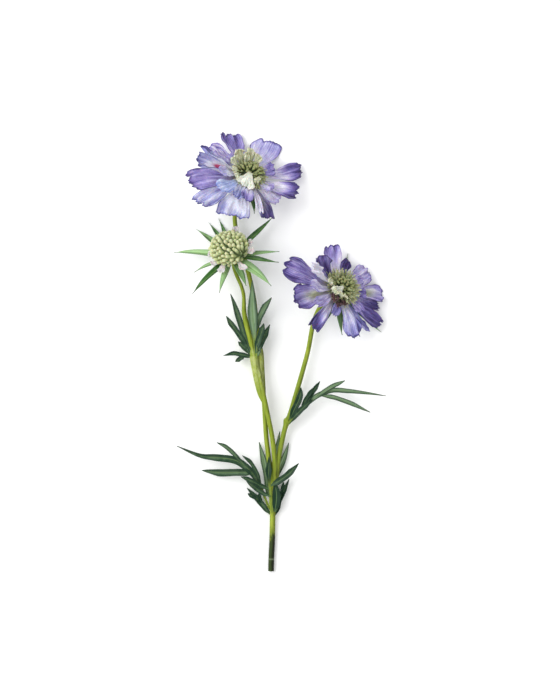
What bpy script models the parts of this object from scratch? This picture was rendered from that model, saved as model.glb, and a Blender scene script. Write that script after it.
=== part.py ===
"""A cut scabiosa stem lying on a surface: two open heads, one young head and their divided leaves.

Every place below is in millimetres from the middle of the stem's cut end: x to the right, y from the cut
end towards the heads, z up from the surface that the stem lies on. A heading is the way something points as
seen from above, in degrees from +x towards +y.
"""

import math
import random
from collections import namedtuple

import bmesh
import bpy
from mathutils import Matrix, Vector

MM = 0.001
CUT_END = Vector((-7.15, -153.98, 0.0))  # in the frame, whose origin lies under the middle of the spray
SEED = 11

PETAL_THICK = 0.7
LEAF_THICK = 0.8
BRACT_THICK = 0.8
TOUCH_DEPTH = 0.05  # how far what rests is pressed into the surface, which then cuts it flat
CLEAR_HEIGHT = 0.5  # the least height of what doesn't rest on the surface

STEM_SIDES = 8
CUP_SIDES = 10
CUSHION_SIDES = 12
STUD_SIDES = 5
SOLVE_STEPS = 12  # rounds that settle a blade's length and heading together
SHARP_ANGLE = 50  # degrees between two faces, past which their shared edge stays sharp

# A head's parts stand on its own axis, which passes through its centre. A root is (radius, height) there, and
# a profile is a list of (height, radius) from its underside to its top.
RAY_ROOT = (5.2, 0.8)
TIER_STEP = 1.1  # how much higher the second tier of ray petals is rooted than the first
INNER_ROOT = (7.0, 5.9)
OPEN_BRACT_ROOT = (5.4, -3.4)
YOUNG_BRACT_ROOT = (5.0, -1.6)
OPEN_CUP = [(-8.0, 2.4), (-5.2, 4.8), (-2.2, 7.2), (-0.8, 7.0)]
PETAL_RING = [(0.0, 7.4), (3.4, 6.8)]
DISC_DOME = [(4.7, 7.6), (6.2, 8.8), (8.2, 7.0), (9.4, 3.0)]
YOUNG_CUP = [(-5.4, 2.3), (-3.4, 4.6), (-0.2, 7.4)]
YOUNG_CUSHION = [(0.3, 7.0), (3.0, 11.6), (8.0, 13.0), (12.2, 10.6), (15.2, 3.6)]

# The florets of a disc fan out from a small ball low in the dome.
DISC_FLORETS = 32
DISC_SPREAD = 62  # degrees from the axis to the outermost floret
DISC_BALL = (2.4, 4.7)  # the height of the ball's middle and its radius
DISC_FLORET_RADIUS = 1.45
DISC_FLORET_LENGTHS = (6.4, 7.0, 7.6)

# The closed florets of the young head stud its cushion all over.
YOUNG_FLORETS = 80
YOUNG_SPREAD = 124
YOUNG_BALL = (7.4, 7.2, 12.2)  # the flattened ball's middle height, half height and radius
YOUNG_FLORET_RADIUS = 1.75
YOUNG_FLORET_LENGTH = 4.0
YOUNG_FLORET_SUNK = 1.0
FLORET_FOOT = 0.62  # the radius of a floret's foot, as a share of the one at its top

# A petal's shape, as shares of its width or length.
CLAW = 0.38  # the width at the root
FULL_AT = 0.7  # how far along the petal is at its full width
CORNER_DROP = 0.10  # how much shorter the rim's two ends are than its middle
RIM_LOBE = 0.045  # the depth of the rim's lobes
PLEAT = 0.075  # the height of the pleats
PLEAT_MOST = 1.5  # mm
WAVE = 0.035  # the height of the wave along the petal
PETAL_LOBES = 3
INNER_LOBES = 2
PETAL_GRID = (6, 5)
INNER_GRID = (4, 3)
INNER_DRAW = 50  # the first random draw of a head's inner florets, past those of its ray petals

BRACT_GRID = (2, 4)
BRACT_FOLD = 0.25
LEAF_FOLD = 0.3
TIP_HALF = 0.35  # the least half width of a bract or a leaf lobe, at its tip

Head = namedtuple("Head", "centre tilt heading")
# reach: how far the tip is from the head's centre, seen from above. rise: the angle up from the head's face
# at the root, in degrees, and curl: how much more it is at the tip. cup: how much the sides turn up. twist:
# the turn about the petal's own length, in degrees. skew: how much longer one side is. tier: 0 is the lowest.
Petal = namedtuple("Petal", "heading reach width rise curl cup twist skew tier")
Bract = namedtuple("Bract", "heading reach width rise curl")

TOP_HEAD = Head(centre=(-16.8, 274.0, 15.6), tilt=38, heading=60)
RIGHT_HEAD = Head(centre=(46.0, 195.4, 18.2), tilt=42, heading=39)
YOUNG_HEAD = Head(centre=(-26.4, 220.8, 20.0), tilt=42, heading=108)

# Every stem is a line of (x, y, z, radius).
MAIN_STEM = [
    (0.0, 0.0, 1.95, 2.0), (0.3, 11.0, 1.95, 2.0), (0.8, 21.0, 2.3, 2.0), (1.1, 35.0, 3.1, 1.95),
    (1.3, 44.0, 3.7, 2.0), (1.4, 48.0, 4.0, 2.7), (1.5, 53.0, 4.4, 2.7), (1.6, 58.0, 4.8, 1.8),
]
TOP_BRANCH = [
    (1.4, 50.0, 4.0, 1.6), (0.6, 63.0, 4.6, 1.7), (-1.5, 78.4, 5.0, 1.7), (-3.5, 93.8, 5.2, 1.65),
    (-4.6, 109.9, 5.3, 1.65), (-5.5, 126.0, 5.3, 1.6), (-6.2, 142.1, 5.4, 1.6), (-7.0, 158.2, 5.6, 1.6),
    (-8.6, 172.2, 5.8, 1.6), (-11.2, 189.0, 6.0, 1.6), (-14.6, 203.7, 6.0, 1.6), (-18.6, 219.1, 5.8, 1.6),
    (-22.8, 231.7, 5.6, 1.55), (-25.2, 244.3, 5.4, 1.5), (-24.8, 255.4, 5.2, 1.5), (-23.0, 262.4, 5.6, 1.5),
    (-20.6, 267.4, 5.9, 1.6), (-19.4, 269.5, 9.0, 1.9),
]
YOUNG_BRANCH = [
    (1.5, 50.5, 4.6, 1.6), (2.6, 64.0, 6.4, 1.65), (2.6, 77.0, 7.6, 1.65), (1.2, 91.7, 8.8, 1.65),
    (-1.2, 105.7, 9.7, 1.6), (-4.9, 123.2, 10.4, 1.6), (-8.4, 139.3, 10.5, 1.6), (-11.0, 148.0, 10.4, 1.8),
    (-11.8, 151.5, 10.3, 2.3), (-12.8, 155.5, 10.2, 1.8), (-15.4, 165.2, 10.0, 1.55),
    (-18.0, 180.6, 9.6, 1.5), (-19.2, 194.6, 9.2, 1.5), (-21.6, 204.4, 9.0, 1.5), (-23.4, 210.0, 9.8, 1.5),
    (-24.4, 214.6, 12.7, 1.6), (-25.2, 217.1, 15.7, 1.9),
]
RIGHT_BRANCH = [
    (1.7, 51.0, 4.4, 1.6), (3.6, 63.7, 5.2, 1.7), (5.0, 77.0, 5.8, 1.75), (7.8, 91.7, 6.4, 1.75),
    (10.2, 101.0, 6.8, 1.8), (11.6, 105.6, 7.0, 2.5), (13.0, 110.0, 7.2, 1.8), (16.8, 121.5, 7.4, 1.7),
    (21.9, 139.3, 7.6, 1.65), (26.0, 154.7, 7.4, 1.6), (28.6, 169.0, 7.2, 1.6), (31.0, 178.0, 7.2, 1.55),
    (34.6, 185.0, 7.8, 1.55), (39.6, 190.2, 9.0, 1.6), (41.65, 191.9, 11.95, 1.9),
]

# The ray petals that show, clockwise from the one at the back of each head.
TOP_PETALS = [
    Petal(102, 34.5, 16.0, 2, 6, 0.15, 10, 0.05, 0),
    Petal(61, 31.0, 23.0, 3, 10, 0.20, -4, -0.04, 0),
    Petal(7, 38.5, 16.0, 2, 6, 0.30, 14, 0.06, 1),
    Petal(344, 38.0, 16.0, -2, 32, 0.50, 28, 0.05, 1),
    Petal(322, 28.0, 13.0, -4, -10, 0.10, -10, 0.0, 2),
    Petal(297, 35.5, 12.0, -6, -18, 0.60, 36, 0.16, 0),
    Petal(250, 29.5, 23.0, -8, -30, -0.10, 0, 0.0, 1),
    Petal(210, 38.5, 20.0, 0, -18, 0.10, -14, -0.08, 0),
    Petal(184, 41.5, 19.0, 4, -8, 0.25, -14, -0.16, 1),
    Petal(161, 36.5, 14.0, 8, 6, 0.50, -26, -0.10, 0),
    Petal(141, 38.5, 12.0, 9, 0, 0.55, 32, -0.20, 1),
]
RIGHT_PETALS = [
    Petal(98, 32.5, 14.0, 6, 10, 0.35, -12, -0.10, 1),
    Petal(73, 22.5, 8.0, 2, 10, 0.30, 0, 0.0, 0),
    Petal(34, 25.0, 15.0, 6, 4, 0.20, 0, 0.0, 1),
    Petal(1, 33.5, 17.0, 2, 0, 0.30, -10, 0.06, 1),
    Petal(343, 31.0, 13.0, -4, -8, 0.30, 14, -0.05, 0),
    Petal(329, 38.5, 12.0, -8, 2, 0.40, 24, 0.10, 0),
    Petal(308, 37.5, 7.0, -16, -6, 0.20, 0, 0.0, 0),
    Petal(292, 35.5, 15.0, -6, -14, 0.25, 0, 0.0, 1),
    Petal(240, 30.0, 10.0, -8, -30, -0.35, 28, -0.16, 0),
    Petal(192, 31.0, 21.0, 0, -20, 0.20, 18, 0.06, 1),
    Petal(152, 40.5, 20.0, 4, 6, 0.35, -18, 0.06, 0),
    Petal(119, 25.0, 12.0, 12, 28, 0.60, -24, 0.0, 1),
]
# The small cream florets between the ray petals and the disc. Their reach is their own length.
TOP_INNER = [
    Petal(128, 14.0, 12.0, 28, 26, 0.30, 0, 0.1, 0),
    Petal(98, 13.5, 12.0, 42, 16, 0.30, 10, 0.1, 0),
    Petal(60, 11.0, 8.0, 36, 24, 0.40, 0, 0.1, 0),
    Petal(352, 11.5, 8.0, 44, 30, 0.50, 0, 0.0, 0),
    Petal(284, 12.5, 12.0, 60, 44, 0.20, 12, 0.1, 0),
    Petal(232, 11.0, 8.0, 20, 0, 0.40, 0, 0.0, 0),
    Petal(184, 12.0, 9.0, 24, 0, 0.40, 0, 0.1, 0),
]
RIGHT_INNER = [
    Petal(116, 14.5, 12.0, 38, 14, 0.20, 0, 0.1, 0),
    Petal(84, 14.5, 12.0, 46, 14, 0.30, 0, 0.0, 0),
    Petal(46, 12.0, 9.0, 40, 16, 0.40, 0, 0.1, 0),
    Petal(335, 12.0, 8.0, 30, 10, 0.30, 0, 0.0, 0),
    Petal(270, 11.0, 8.0, 20, 0, 0.30, 0, 0.0, 0),
    Petal(206, 12.5, 10.0, 50, 40, 0.30, 10, 0.1, 0),
    Petal(160, 12.0, 9.0, 26, 20, 0.50, -10, 0.0, 0),
]
TOP_BRACTS = [
    Bract(20, 22.0, 3.6, -17, -6), Bract(60, 17.0, 3.6, -17, -6), Bract(95, 20.0, 3.6, -17, -6),
    Bract(130, 23.0, 3.6, -17, -6), Bract(165, 24.0, 3.6, -17, -6), Bract(200, 25.0, 3.6, -17, -6),
    Bract(236, 24.0, 3.6, -17, -6), Bract(282, 25.0, 3.6, -17, -6), Bract(325, 24.0, 3.6, -17, -6),
]
RIGHT_BRACTS = [
    Bract(74, 28.0, 3.0, -6, -2), Bract(35, 17.0, 3.6, -14, -4), Bract(5, 20.0, 3.6, -16, -4),
    Bract(318, 41.0, 4.2, -19, 2), Bract(277, 30.5, 4.4, -15, -6), Bract(250, 22.0, 3.6, -20, -8),
    Bract(197, 29.0, 3.4, -13, -8), Bract(160, 22.0, 3.6, -14, -4), Bract(118, 22.0, 3.6, -12, -4),
]
YOUNG_BRACTS = [
    Bract(177, 41.0, 4.6, 2, -4), Bract(144, 32.0, 4.0, -2, 2), Bract(126, 28.5, 3.2, 2, 4),
    Bract(111, 27.5, 3.0, 0, 6), Bract(44, 40.0, 4.0, 6, -2), Bract(4, 33.0, 3.6, 4, -4),
    Bract(351, 33.0, 3.8, 0, -12), Bract(321, 35.0, 5.6, 4, -16), Bract(294, 24.0, 4.6, -6, -10),
    Bract(252, 28.0, 3.8, 2, -12), Bract(225, 38.5, 5.2, 4, -10), Bract(205, 29.0, 2.8, 0, -6),
]

# Each leaf is a list of lobes, the rib with the tip first. A lobe is its width and the places along it.
LEAVES = {
    "leaf_fork_left": [
        (4.8, [(-2.6, 45.8, 4.0), (-6.6, 57.5, 5.6), (-12.4, 68.0, 7.8), (-20.0, 75.0, 9.2),
               (-27.0, 78.4, 9.6), (-39.2, 79.8, 8.8), (-50.0, 81.0, 6.6), (-66.0, 87.6, 2.6)]),
        (4.8, [(-12.0, 68.6, 7.8), (-19.6, 69.4, 8.2), (-34.3, 69.0, 6.6), (-48.5, 70.5, 3.4)]),
        (3.2, [(-18.6, 74.2, 9.2), (-24.5, 80.9, 10.6), (-30.8, 86.8, 10.2), (-37.8, 90.2, 8.6)]),
        (2.8, [(-6.6, 58.6, 5.8), (-9.6, 68.4, 9.0), (-14.4, 76.6, 11.0), (-20.0, 81.2, 11.4)]),
    ],
    "leaf_fork_front": [
        (4.2, [(0.6, 44.6, 7.0), (-0.6, 56.7, 9.8), (-1.6, 67.2, 10.6), (-1.5, 73.5, 10.8),
               (-1.4, 80.4, 11.2)]),
        (4.2, [(-0.3, 60.0, 9.9), (5.6, 63.4, 10.8), (12.6, 68.6, 10.8), (19.4, 75.7, 9.4)]),
        (3.2, [(-0.6, 57.6, 9.9), (-8.4, 60.6, 9.6), (-15.0, 64.2, 12.0), (-21.0, 66.4, 11.6)]),
        (3.0, [(-0.2, 52.6, 9.2), (-6.4, 55.2, 9.8), (-12.2, 59.6, 11.0), (-17.0, 63.4, 13.6)]),
    ],
    "leaf_fork_low_left": [
        (3.6, [(-2.8, 42.0, 2.8), (-6.4, 47.0, 2.9), (-11.0, 52.2, 2.6), (-16.8, 58.2, 1.8)]),
        (2.4, [(-6.4, 47.0, 2.9), (-7.8, 51.0, 3.2), (-8.4, 54.6, 3.2)]),
        (2.4, [(-9.4, 50.4, 2.8), (-13.4, 52.6, 2.6), (-16.2, 54.4, 2.0)]),
    ],
    "leaf_fork_right": [
        (3.2, [(4.5, 41.6, 3.0), (5.9, 49.4, 3.4), (9.6, 57.4, 3.4), (12.6, 64.4, 2.8)]),
        (2.0, [(6.8, 52.0, 3.4), (8.0, 58.0, 4.2), (8.8, 62.6, 4.2)]),
    ],
    "leaf_fork_back": [
        (4.4, [(-1.8, 54.6, 1.5), (-2.6, 65.0, 1.5), (-5.0, 77.0, 1.6), (-8.3, 90.4, 2.4)]),
        (3.6, [(-2.2, 61.0, 1.5), (3.0, 66.0, 1.5), (8.4, 77.0, 1.8), (12.4, 89.8, 3.0)]),
        (3.2, [(-2.2, 60.0, 1.5), (1.2, 70.0, 1.5), (3.4, 82.0, 1.8), (6.2, 97.8, 3.0)]),
    ],
    "leaf_branch_right": [
        (3.6, [(12.6, 104.2, 10.6), (17.6, 110.2, 11.2), (23.1, 115.4, 12.0), (28.7, 120.4, 12.8),
               (34.3, 123.8, 13.2), (43.4, 126.7, 13.4), (53.9, 126.2, 12.2), (66.5, 124.7, 9.6),
               (80.4, 122.6, 5.6)]),
        (3.2, [(33.6, 123.2, 13.2), (43.4, 121.8, 12.4), (54.5, 118.0, 10.0), (69.4, 111.2, 6.0)]),
        (3.2, [(31.6, 122.0, 13.0), (41.3, 128.6, 14.6), (51.6, 133.4, 14.2)]),
        (3.8, [(24.4, 116.6, 11.8), (28.6, 124.6, 14.0), (34.1, 132.8, 15.0)]),
        (3.4, [(21.0, 113.4, 11.2), (24.8, 121.0, 13.6), (29.4, 128.4, 15.2)]),
        (4.2, [(15.0, 107.0, 10.9), (18.6, 116.0, 12.6), (21.2, 127.6, 13.2)]),
    ],
    "leaf_upper_left": [
        (4.8, [(-13.2, 150.4, 13.4), (-18.2, 164.4, 12.8), (-23.8, 181.6, 12.4), (-28.2, 193.8, 11.6)]),
        (4.4, [(-14.6, 153.4, 13.3), (-21.2, 164.0, 11.2), (-27.2, 172.2, 9.0), (-31.3, 178.4, 7.0)]),
        (3.4, [(-14.0, 151.6, 13.3), (-19.2, 157.0, 11.0), (-22.8, 160.6, 9.4)]),
    ],
    "leaf_upper_right": [
        (5.6, [(-9.6, 149.6, 13.5), (-11.0, 165.0, 13.5), (-13.2, 184.0, 13.6), (-13.0, 203.2, 14.6)]),
        (4.4, [(-9.8, 156.0, 13.5), (-8.8, 171.2, 12.8), (-4.9, 183.4, 12.6), (0.4, 191.3, 12.0)]),
        (3.8, [(-9.6, 153.6, 13.5), (-6.2, 162.6, 12.2), (-0.8, 172.4, 10.4)]),
        (4.4, [(-9.8, 153.8, 13.5), (-8.6, 146.4, 13.3), (-6.6, 137.6, 12.9)]),
    ],
    "leaf_upper_low": [
        (3.0, [(-14.9, 150.0, 8.8), (-21.0, 151.6, 8.8), (-26.6, 152.3, 7.6), (-33.2, 150.8, 5.6)]),
        (2.8, [(-18.0, 150.8, 8.8), (-21.7, 148.6, 8.0), (-24.8, 146.4, 6.8)]),
    ],
}


def smoothstep(x):
    x = min(max(x, 0.0), 1.0)
    return x * x * (3 - 2 * x)


def smooth_line(points, per_span):
    """A Catmull-Rom line through the points, with per_span steps between each two."""
    rows = [Vector(p) for p in points]
    rows = [2 * rows[0] - rows[1], *rows, 2 * rows[-1] - rows[-2]]
    line = []
    for a, b, c, d in zip(rows, rows[1:], rows[2:], rows[3:]):
        for step in range(per_span):
            t = step / per_span
            bend = 2 * a - 5 * b + 4 * c - d
            line.append(0.5 * (2 * b + (c - a) * t + bend * t**2 + (3 * (b - c) + d - a) * t**3))
    line.append(rows[-2])
    return line


def point_on(line, t):
    """The point at share t of the line, and the line's direction there."""
    place = min(max(t, 0.0), 1.0) * (len(line) - 1)
    i = min(int(place), len(line) - 2)
    return line[i].lerp(line[i + 1], place - i), (line[i + 1] - line[i]).normalized()


def head_axes(head):
    """A head's frame: x and y across its face, z the way it faces."""
    tilt, heading = math.radians(head.tilt), math.radians(head.heading)
    lean = math.sin(tilt)
    facing = Vector((lean * math.cos(heading), lean * math.sin(heading), math.cos(tilt)))
    across = (Vector((1, 0, 0)) - facing * facing.x).normalized()
    return Matrix((across, facing.cross(across), facing)).transposed()


def object_from(bm, name):
    """A mesh object made from bm, whose points are in millimetres from the cut end."""
    bmesh.ops.translate(bm, vec=CUT_END, verts=bm.verts)
    bmesh.ops.scale(bm, vec=(MM, MM, MM), verts=bm.verts)
    mesh = bpy.data.meshes.new(name)
    bm.to_mesh(mesh)
    bm.free()
    obj = bpy.data.objects.new(name, mesh)
    bpy.context.scene.collection.objects.link(obj)
    return obj


def swept(name, stations, sides, side=Vector((0, 0, 1))):
    """A round closed stem through stations of (centre, radius)."""
    frames = []
    centres = [centre for centre, _ in stations]
    for i, (centre, radius) in enumerate(stations):
        along = (centres[min(i + 1, len(centres) - 1)] - centres[max(i - 1, 0)]).normalized()
        side = (side - along * side.dot(along)).normalized()
        turn = Matrix((side, along.cross(side), along)).transposed().to_4x4()
        frames.append(Matrix.Translation(centre) @ turn @ Matrix.Scale(radius, 4))
    bm = bmesh.new()
    bmesh.ops.create_circle(bm, cap_ends=True, segments=sides, radius=1.0)
    bmesh.ops.transform(bm, matrix=frames[0], verts=bm.verts)
    cap = bm.faces[:]
    for before, after in zip(frames, frames[1:]):
        rim = [edge for face in cap for edge in face.edges]
        grown = bmesh.ops.extrude_face_region(bm, geom=cap + rim)["geom"]
        verts = [g for g in grown if isinstance(g, bmesh.types.BMVert)]
        cap = [g for g in grown if isinstance(g, bmesh.types.BMFace)]
        bmesh.ops.transform(bm, matrix=after @ before.inverted(), verts=verts)
    bmesh.ops.recalc_face_normals(bm, faces=bm.faces)
    return object_from(bm, name)


def stem_tube(name, points):
    return swept(name, [(Vector(point[:3]), point[3]) for point in points], STEM_SIDES)


def blade(name, grid, place, thickness):
    """A thin blade: a grid of triangles that place(s, t) puts on its middle surface, thickened both ways.

    s runs from -1 to 1 across the blade and t from 0 to 1 along it. grid holds the steps across and along.
    """
    bm = bmesh.new()
    bmesh.ops.create_grid(bm, x_segments=grid[0], y_segments=grid[1], size=1.0)
    for vert in bm.verts:
        vert.co = place(vert.co.x, (vert.co.y + 1) / 2)
    bmesh.ops.triangulate(bm, faces=bm.faces[:])
    obj = object_from(bm, name)
    solidify = obj.modifiers.new("thickness", "SOLIDIFY")
    solidify.thickness = thickness * MM
    solidify.offset = 0.0
    return obj


def centre_line(rise, curl, steps=16):
    """A petal's unit middle line as (out, up, angle): rise degrees up at its root, curl more at its tip."""
    out = up = 0.0
    rows = [(out, up, math.radians(rise))]
    for step in range(steps):
        share = (step + 0.5) / steps
        angle = math.radians(rise + curl * share**1.5)
        out += math.cos(angle) / steps
        up += math.sin(angle) / steps
        rows.append((out, up, math.radians(rise + curl * ((step + 1) / steps) ** 1.5)))
    return [Vector(row) for row in rows]


class Radial:
    """The line of a petal or bract, from its root at a radius and height on a head's own axis.

    The line leaves the axis so that, seen from above, its tip lies on the piece's heading from the head's
    centre, and as far out as its reach. With a length it is as long as that instead.
    """

    def __init__(self, head, piece, root, length=None):
        radius, height = root
        axes = head_axes(head)
        self.axis = axes.col[2].copy()
        self.line = centre_line(piece.rise, piece.curl)
        gained = self.line[-1]
        heading = math.radians(piece.heading)
        forward = Vector((math.cos(heading), math.sin(heading), 0))
        beside = Vector((-math.sin(heading), math.cos(heading), 0))
        flat = Vector((axes.col[0].dot(beside), axes.col[1].dot(beside)))
        lean = math.atan2(flat.y, flat.x)
        self.length = length or piece.reach
        for _ in range(SOLVE_STEPS):
            drift = (height + self.length * gained.y) * self.axis.dot(beside)
            aside = -drift / (radius + self.length * gained.x) / flat.length
            turn = math.acos(min(max(aside, -1.0), 1.0))
            ways = [Vector((math.cos(at), math.sin(at), 0)) for at in (lean + turn, lean - turn)]
            self.out = max((axes @ way for way in ways), key=forward.dot)
            if length is None:
                rooted = (self.out * radius + self.axis * height).dot(forward)
                step = (self.out * gained.x + self.axis * gained.y).dot(forward)
                self.length = (piece.reach - rooted) / step
        self.side = self.axis.cross(self.out)
        self.root = Vector(head.centre) + self.out * radius + self.axis * height

    def at(self, share, twist=0.0):
        """The point at this share of the length, with the directions across and off the surface there."""
        (out, up, angle), _ = point_on(self.line, share)
        point = self.root + (self.out * out + self.axis * up) * self.length
        normal = self.axis * math.cos(angle) - self.out * math.sin(angle)
        turn = math.radians(twist) * share
        across = self.side * math.cos(turn) + normal * math.sin(turn)
        return point, across, normal * math.cos(turn) - self.side * math.sin(turn)


def petal(name, line, piece, number, grid, lobes, floor):
    """A fan-shaped petal: narrow at its claw, widest near its rim, which is lobed and pleated."""
    rng = random.Random(SEED * 100 + number)
    phase = rng.uniform(0, 2 * math.pi)
    wave = rng.uniform(0, 2 * math.pi)
    pleat = min(PLEAT_MOST, PLEAT * piece.width)

    def place(s, t):
        longer = piece.skew * s - CORNER_DROP * abs(s) ** 3
        longer += RIM_LOBE * math.cos(lobes * math.pi * s)
        share = t * (1 + longer * t)
        opened = CLAW + (1 - CLAW) * smoothstep(share / FULL_AT)
        half = piece.width / 2 * opened * (1 - 0.07 * smoothstep(share * 4 - 3))
        lift = piece.cup * half * s * s + pleat * share**1.5 * math.cos(2.5 * math.pi * s + phase)
        lift += WAVE * line.length * share * math.sin(6.5 * share + wave)
        point, side, normal = line.at(share, piece.twist)
        spot = point + side * (s * half) + normal * lift
        spot.z = max(spot.z, floor)
        return spot

    return blade(name, grid, place, PETAL_THICK)


def bract(name, head, piece, root):
    """A narrow green bract, folded along its rib and drawn out to a point."""
    line = Radial(head, piece, root)

    def place(s, t):
        half = max(piece.width / 2 * (1 - abs(2 * t**0.8 - 0.9) ** 2.2), TIP_HALF)
        point, side, normal = line.at(t)
        spot = point + side * (s * half) + normal * (BRACT_FOLD * half * abs(s))
        spot.z = max(spot.z, CLEAR_HEIGHT + BRACT_THICK)
        return spot

    return blade(name, BRACT_GRID, place, BRACT_THICK)


def leaf_lobe(name, width, points):
    """A lance-shaped lobe along a line, folded a little along its rib."""
    line = smooth_line(points, 4)
    steps = 4 + 2 * max(0, len(points) - 5)

    def place(s, t):
        half = max(width / 2 * min(1.0, 0.42 + 1.5 * t, 3.2 * (1 - t) ** 0.8), TIP_HALF)
        point, along = point_on(line, t)
        side = Vector((along.y, -along.x, 0)).normalized()
        spot = point + side * (s * half) + Vector((0, 0, LEAF_FOLD * half * abs(s)))
        spot.z = max(spot.z, CLEAR_HEIGHT + LEAF_THICK / 2)
        return spot

    return blade(name, (2, steps), place, LEAF_THICK)


def stud(name, head, direction, foot, radius, length):
    """A small floret that widens from its foot along direction, both in the head's own frame."""
    axes = head_axes(head)
    towards = (axes @ direction).normalized()
    start = Vector(head.centre) + axes @ foot
    stations = [(start, radius * FLORET_FOOT), (start + towards * length, radius)]
    return swept(name, stations, STUD_SIDES, side=towards.orthogonal())


def turned(name, head, profile, sides):
    """A round body on a head's axis, from a profile of (height, radius)."""
    axes = head_axes(head)
    stations = [(Vector(head.centre) + axes.col[2] * height, radius) for height, radius in profile]
    return swept(name, stations, sides, side=axes.col[0].copy())


def fused(core, pieces):
    """Joins the pieces into core by one Boolean union, applies it and removes them."""
    together = bpy.data.collections.new("pieces")
    bpy.context.scene.collection.children.link(together)
    for piece in pieces:
        bpy.context.scene.collection.objects.unlink(piece)
        together.objects.link(piece)
    union = core.modifiers.new("union", "BOOLEAN")
    union.operation = "UNION"
    union.operand_type = "COLLECTION"
    union.collection = together
    union.solver = "MANIFOLD"
    graph = bpy.context.evaluated_depsgraph_get()
    core.data = bpy.data.meshes.new_from_object(core.evaluated_get(graph))
    core.modifiers.clear()
    for piece in pieces:
        bpy.data.objects.remove(piece)
    bpy.data.collections.remove(together)
    return core


def flattened_below(obj):
    """Cuts away what lies under the surface, which leaves the flat spot that the piece rests on."""
    bm = bmesh.new()
    bm.from_mesh(obj.data)
    everything = bm.verts[:] + bm.edges[:] + bm.faces[:]
    plane = {"plane_co": (0, 0, 0), "plane_no": (0, 0, -1)}
    cut = bmesh.ops.bisect_plane(bm, geom=everything, clear_outer=True, **plane)
    rims = [g for g in cut["geom_cut"] if isinstance(g, bmesh.types.BMEdge)]
    bmesh.ops.holes_fill(bm, edges=rims)
    bmesh.ops.triangulate(bm, faces=[face for face in bm.faces if len(face.verts) > 4])
    bm.to_mesh(obj.data)
    bm.free()
    return obj


def painted(obj, material):
    obj.data.materials.clear()
    obj.data.materials.append(material)
    obj.data.shade_smooth()
    obj.data.set_sharp_from_angle(angle=math.radians(SHARP_ANGLE))
    return obj


def material(name, colour, roughness):
    made = bpy.data.materials.new(name)
    made.use_nodes = True
    shader = made.node_tree.nodes["Principled BSDF"]
    shader.inputs["Base Color"].default_value = (*colour, 1)
    shader.inputs["Roughness"].default_value = roughness
    shader.inputs["Metallic"].default_value = 0.0
    return made


def golden_directions(count, widest):
    """Directions spread evenly over a cap round +z, out to widest degrees from it."""
    low = math.cos(math.radians(widest))
    for i in range(count):
        up = 1 - (1 - low) * (i + 0.5) / count
        turn = i * math.pi * (3 - math.sqrt(5))
        flat = math.sqrt(1 - up * up)
        yield Vector((flat * math.cos(turn), flat * math.sin(turn), up))


def build_stem(finish):
    main = stem_tube("stem", MAIN_STEM)
    branches = [stem_tube("branch", points) for points in (TOP_BRANCH, YOUNG_BRANCH, RIGHT_BRANCH)]
    painted(flattened_below(fused(main, branches)), finish)


def build_bracts(name, head, bracts, finish):
    """The green cup under an open head, with the bracts that spread from it."""
    cup = turned(name, head, OPEN_CUP, CUP_SIDES)
    blades = [bract("bract", head, piece, OPEN_BRACT_ROOT) for piece in bracts]
    painted(fused(cup, blades), finish)


def build_petals(name, head, petals, finish):
    """The large outer petals, in two tiers on one low ring."""
    ring = turned(name, head, PETAL_RING, CUSHION_SIDES)
    floor = PETAL_THICK / 2 - TOUCH_DEPTH
    radius, height = RAY_ROOT
    blades = []
    for number, piece in enumerate(petals):
        line = Radial(head, piece, (radius, height + TIER_STEP * piece.tier))
        blades.append(petal("petal", line, piece, number, PETAL_GRID, PETAL_LOBES, floor))
    painted(flattened_below(fused(ring, blades)), finish)


def build_disc(name, head, inner, finish):
    """The pincushion of disc florets, with the small cream florets round it."""
    dome = turned(name, head, DISC_DOME, CUP_SIDES)
    middle, ball = DISC_BALL
    pieces = []
    for i, direction in enumerate(golden_directions(DISC_FLORETS, DISC_SPREAD)):
        foot = direction * ball + Vector((0, 0, middle))
        length = DISC_FLORET_LENGTHS[i % len(DISC_FLORET_LENGTHS)]
        pieces.append(stud("floret", head, direction, foot, DISC_FLORET_RADIUS, length))
    for number, piece in enumerate(inner, start=INNER_DRAW):
        line = Radial(head, piece, INNER_ROOT, length=piece.reach)
        pieces.append(petal("inner", line, piece, number, INNER_GRID, INNER_LOBES, CLEAR_HEIGHT))
    painted(fused(dome, pieces), finish)


def build_young_head(bract_finish, floret_finish):
    """The young head: a cushion of closed florets on a cup of long bracts."""
    cup = turned("young_head_bracts", YOUNG_HEAD, YOUNG_CUP, CUP_SIDES)
    blades = [bract("bract", YOUNG_HEAD, piece, YOUNG_BRACT_ROOT) for piece in YOUNG_BRACTS]
    painted(fused(cup, blades), bract_finish)
    cushion = turned("young_head_florets", YOUNG_HEAD, YOUNG_CUSHION, CUSHION_SIDES)
    middle, half_height, radius = YOUNG_BALL
    studs = []
    for direction in golden_directions(YOUNG_FLORETS, YOUNG_SPREAD):
        on_ball = Vector((direction.x * radius, direction.y * radius, middle + direction.z * half_height))
        outwards = Vector((direction.x, direction.y, direction.z * 1.5)).normalized()
        foot = on_ball - outwards * YOUNG_FLORET_SUNK
        studs.append(stud("floret", YOUNG_HEAD, outwards, foot, YOUNG_FLORET_RADIUS, YOUNG_FLORET_LENGTH))
    painted(fused(cushion, studs), floret_finish)


def build_leaves(finish, pale_finish):
    """The divided leaves: the one behind the fork is young and pale."""
    for name, lobes in LEAVES.items():
        rib, *others = [leaf_lobe(name, width, points) for width, points in lobes]
        rib.name = name
        painted(fused(rib, others), pale_finish if name == "leaf_fork_back" else finish)


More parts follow.
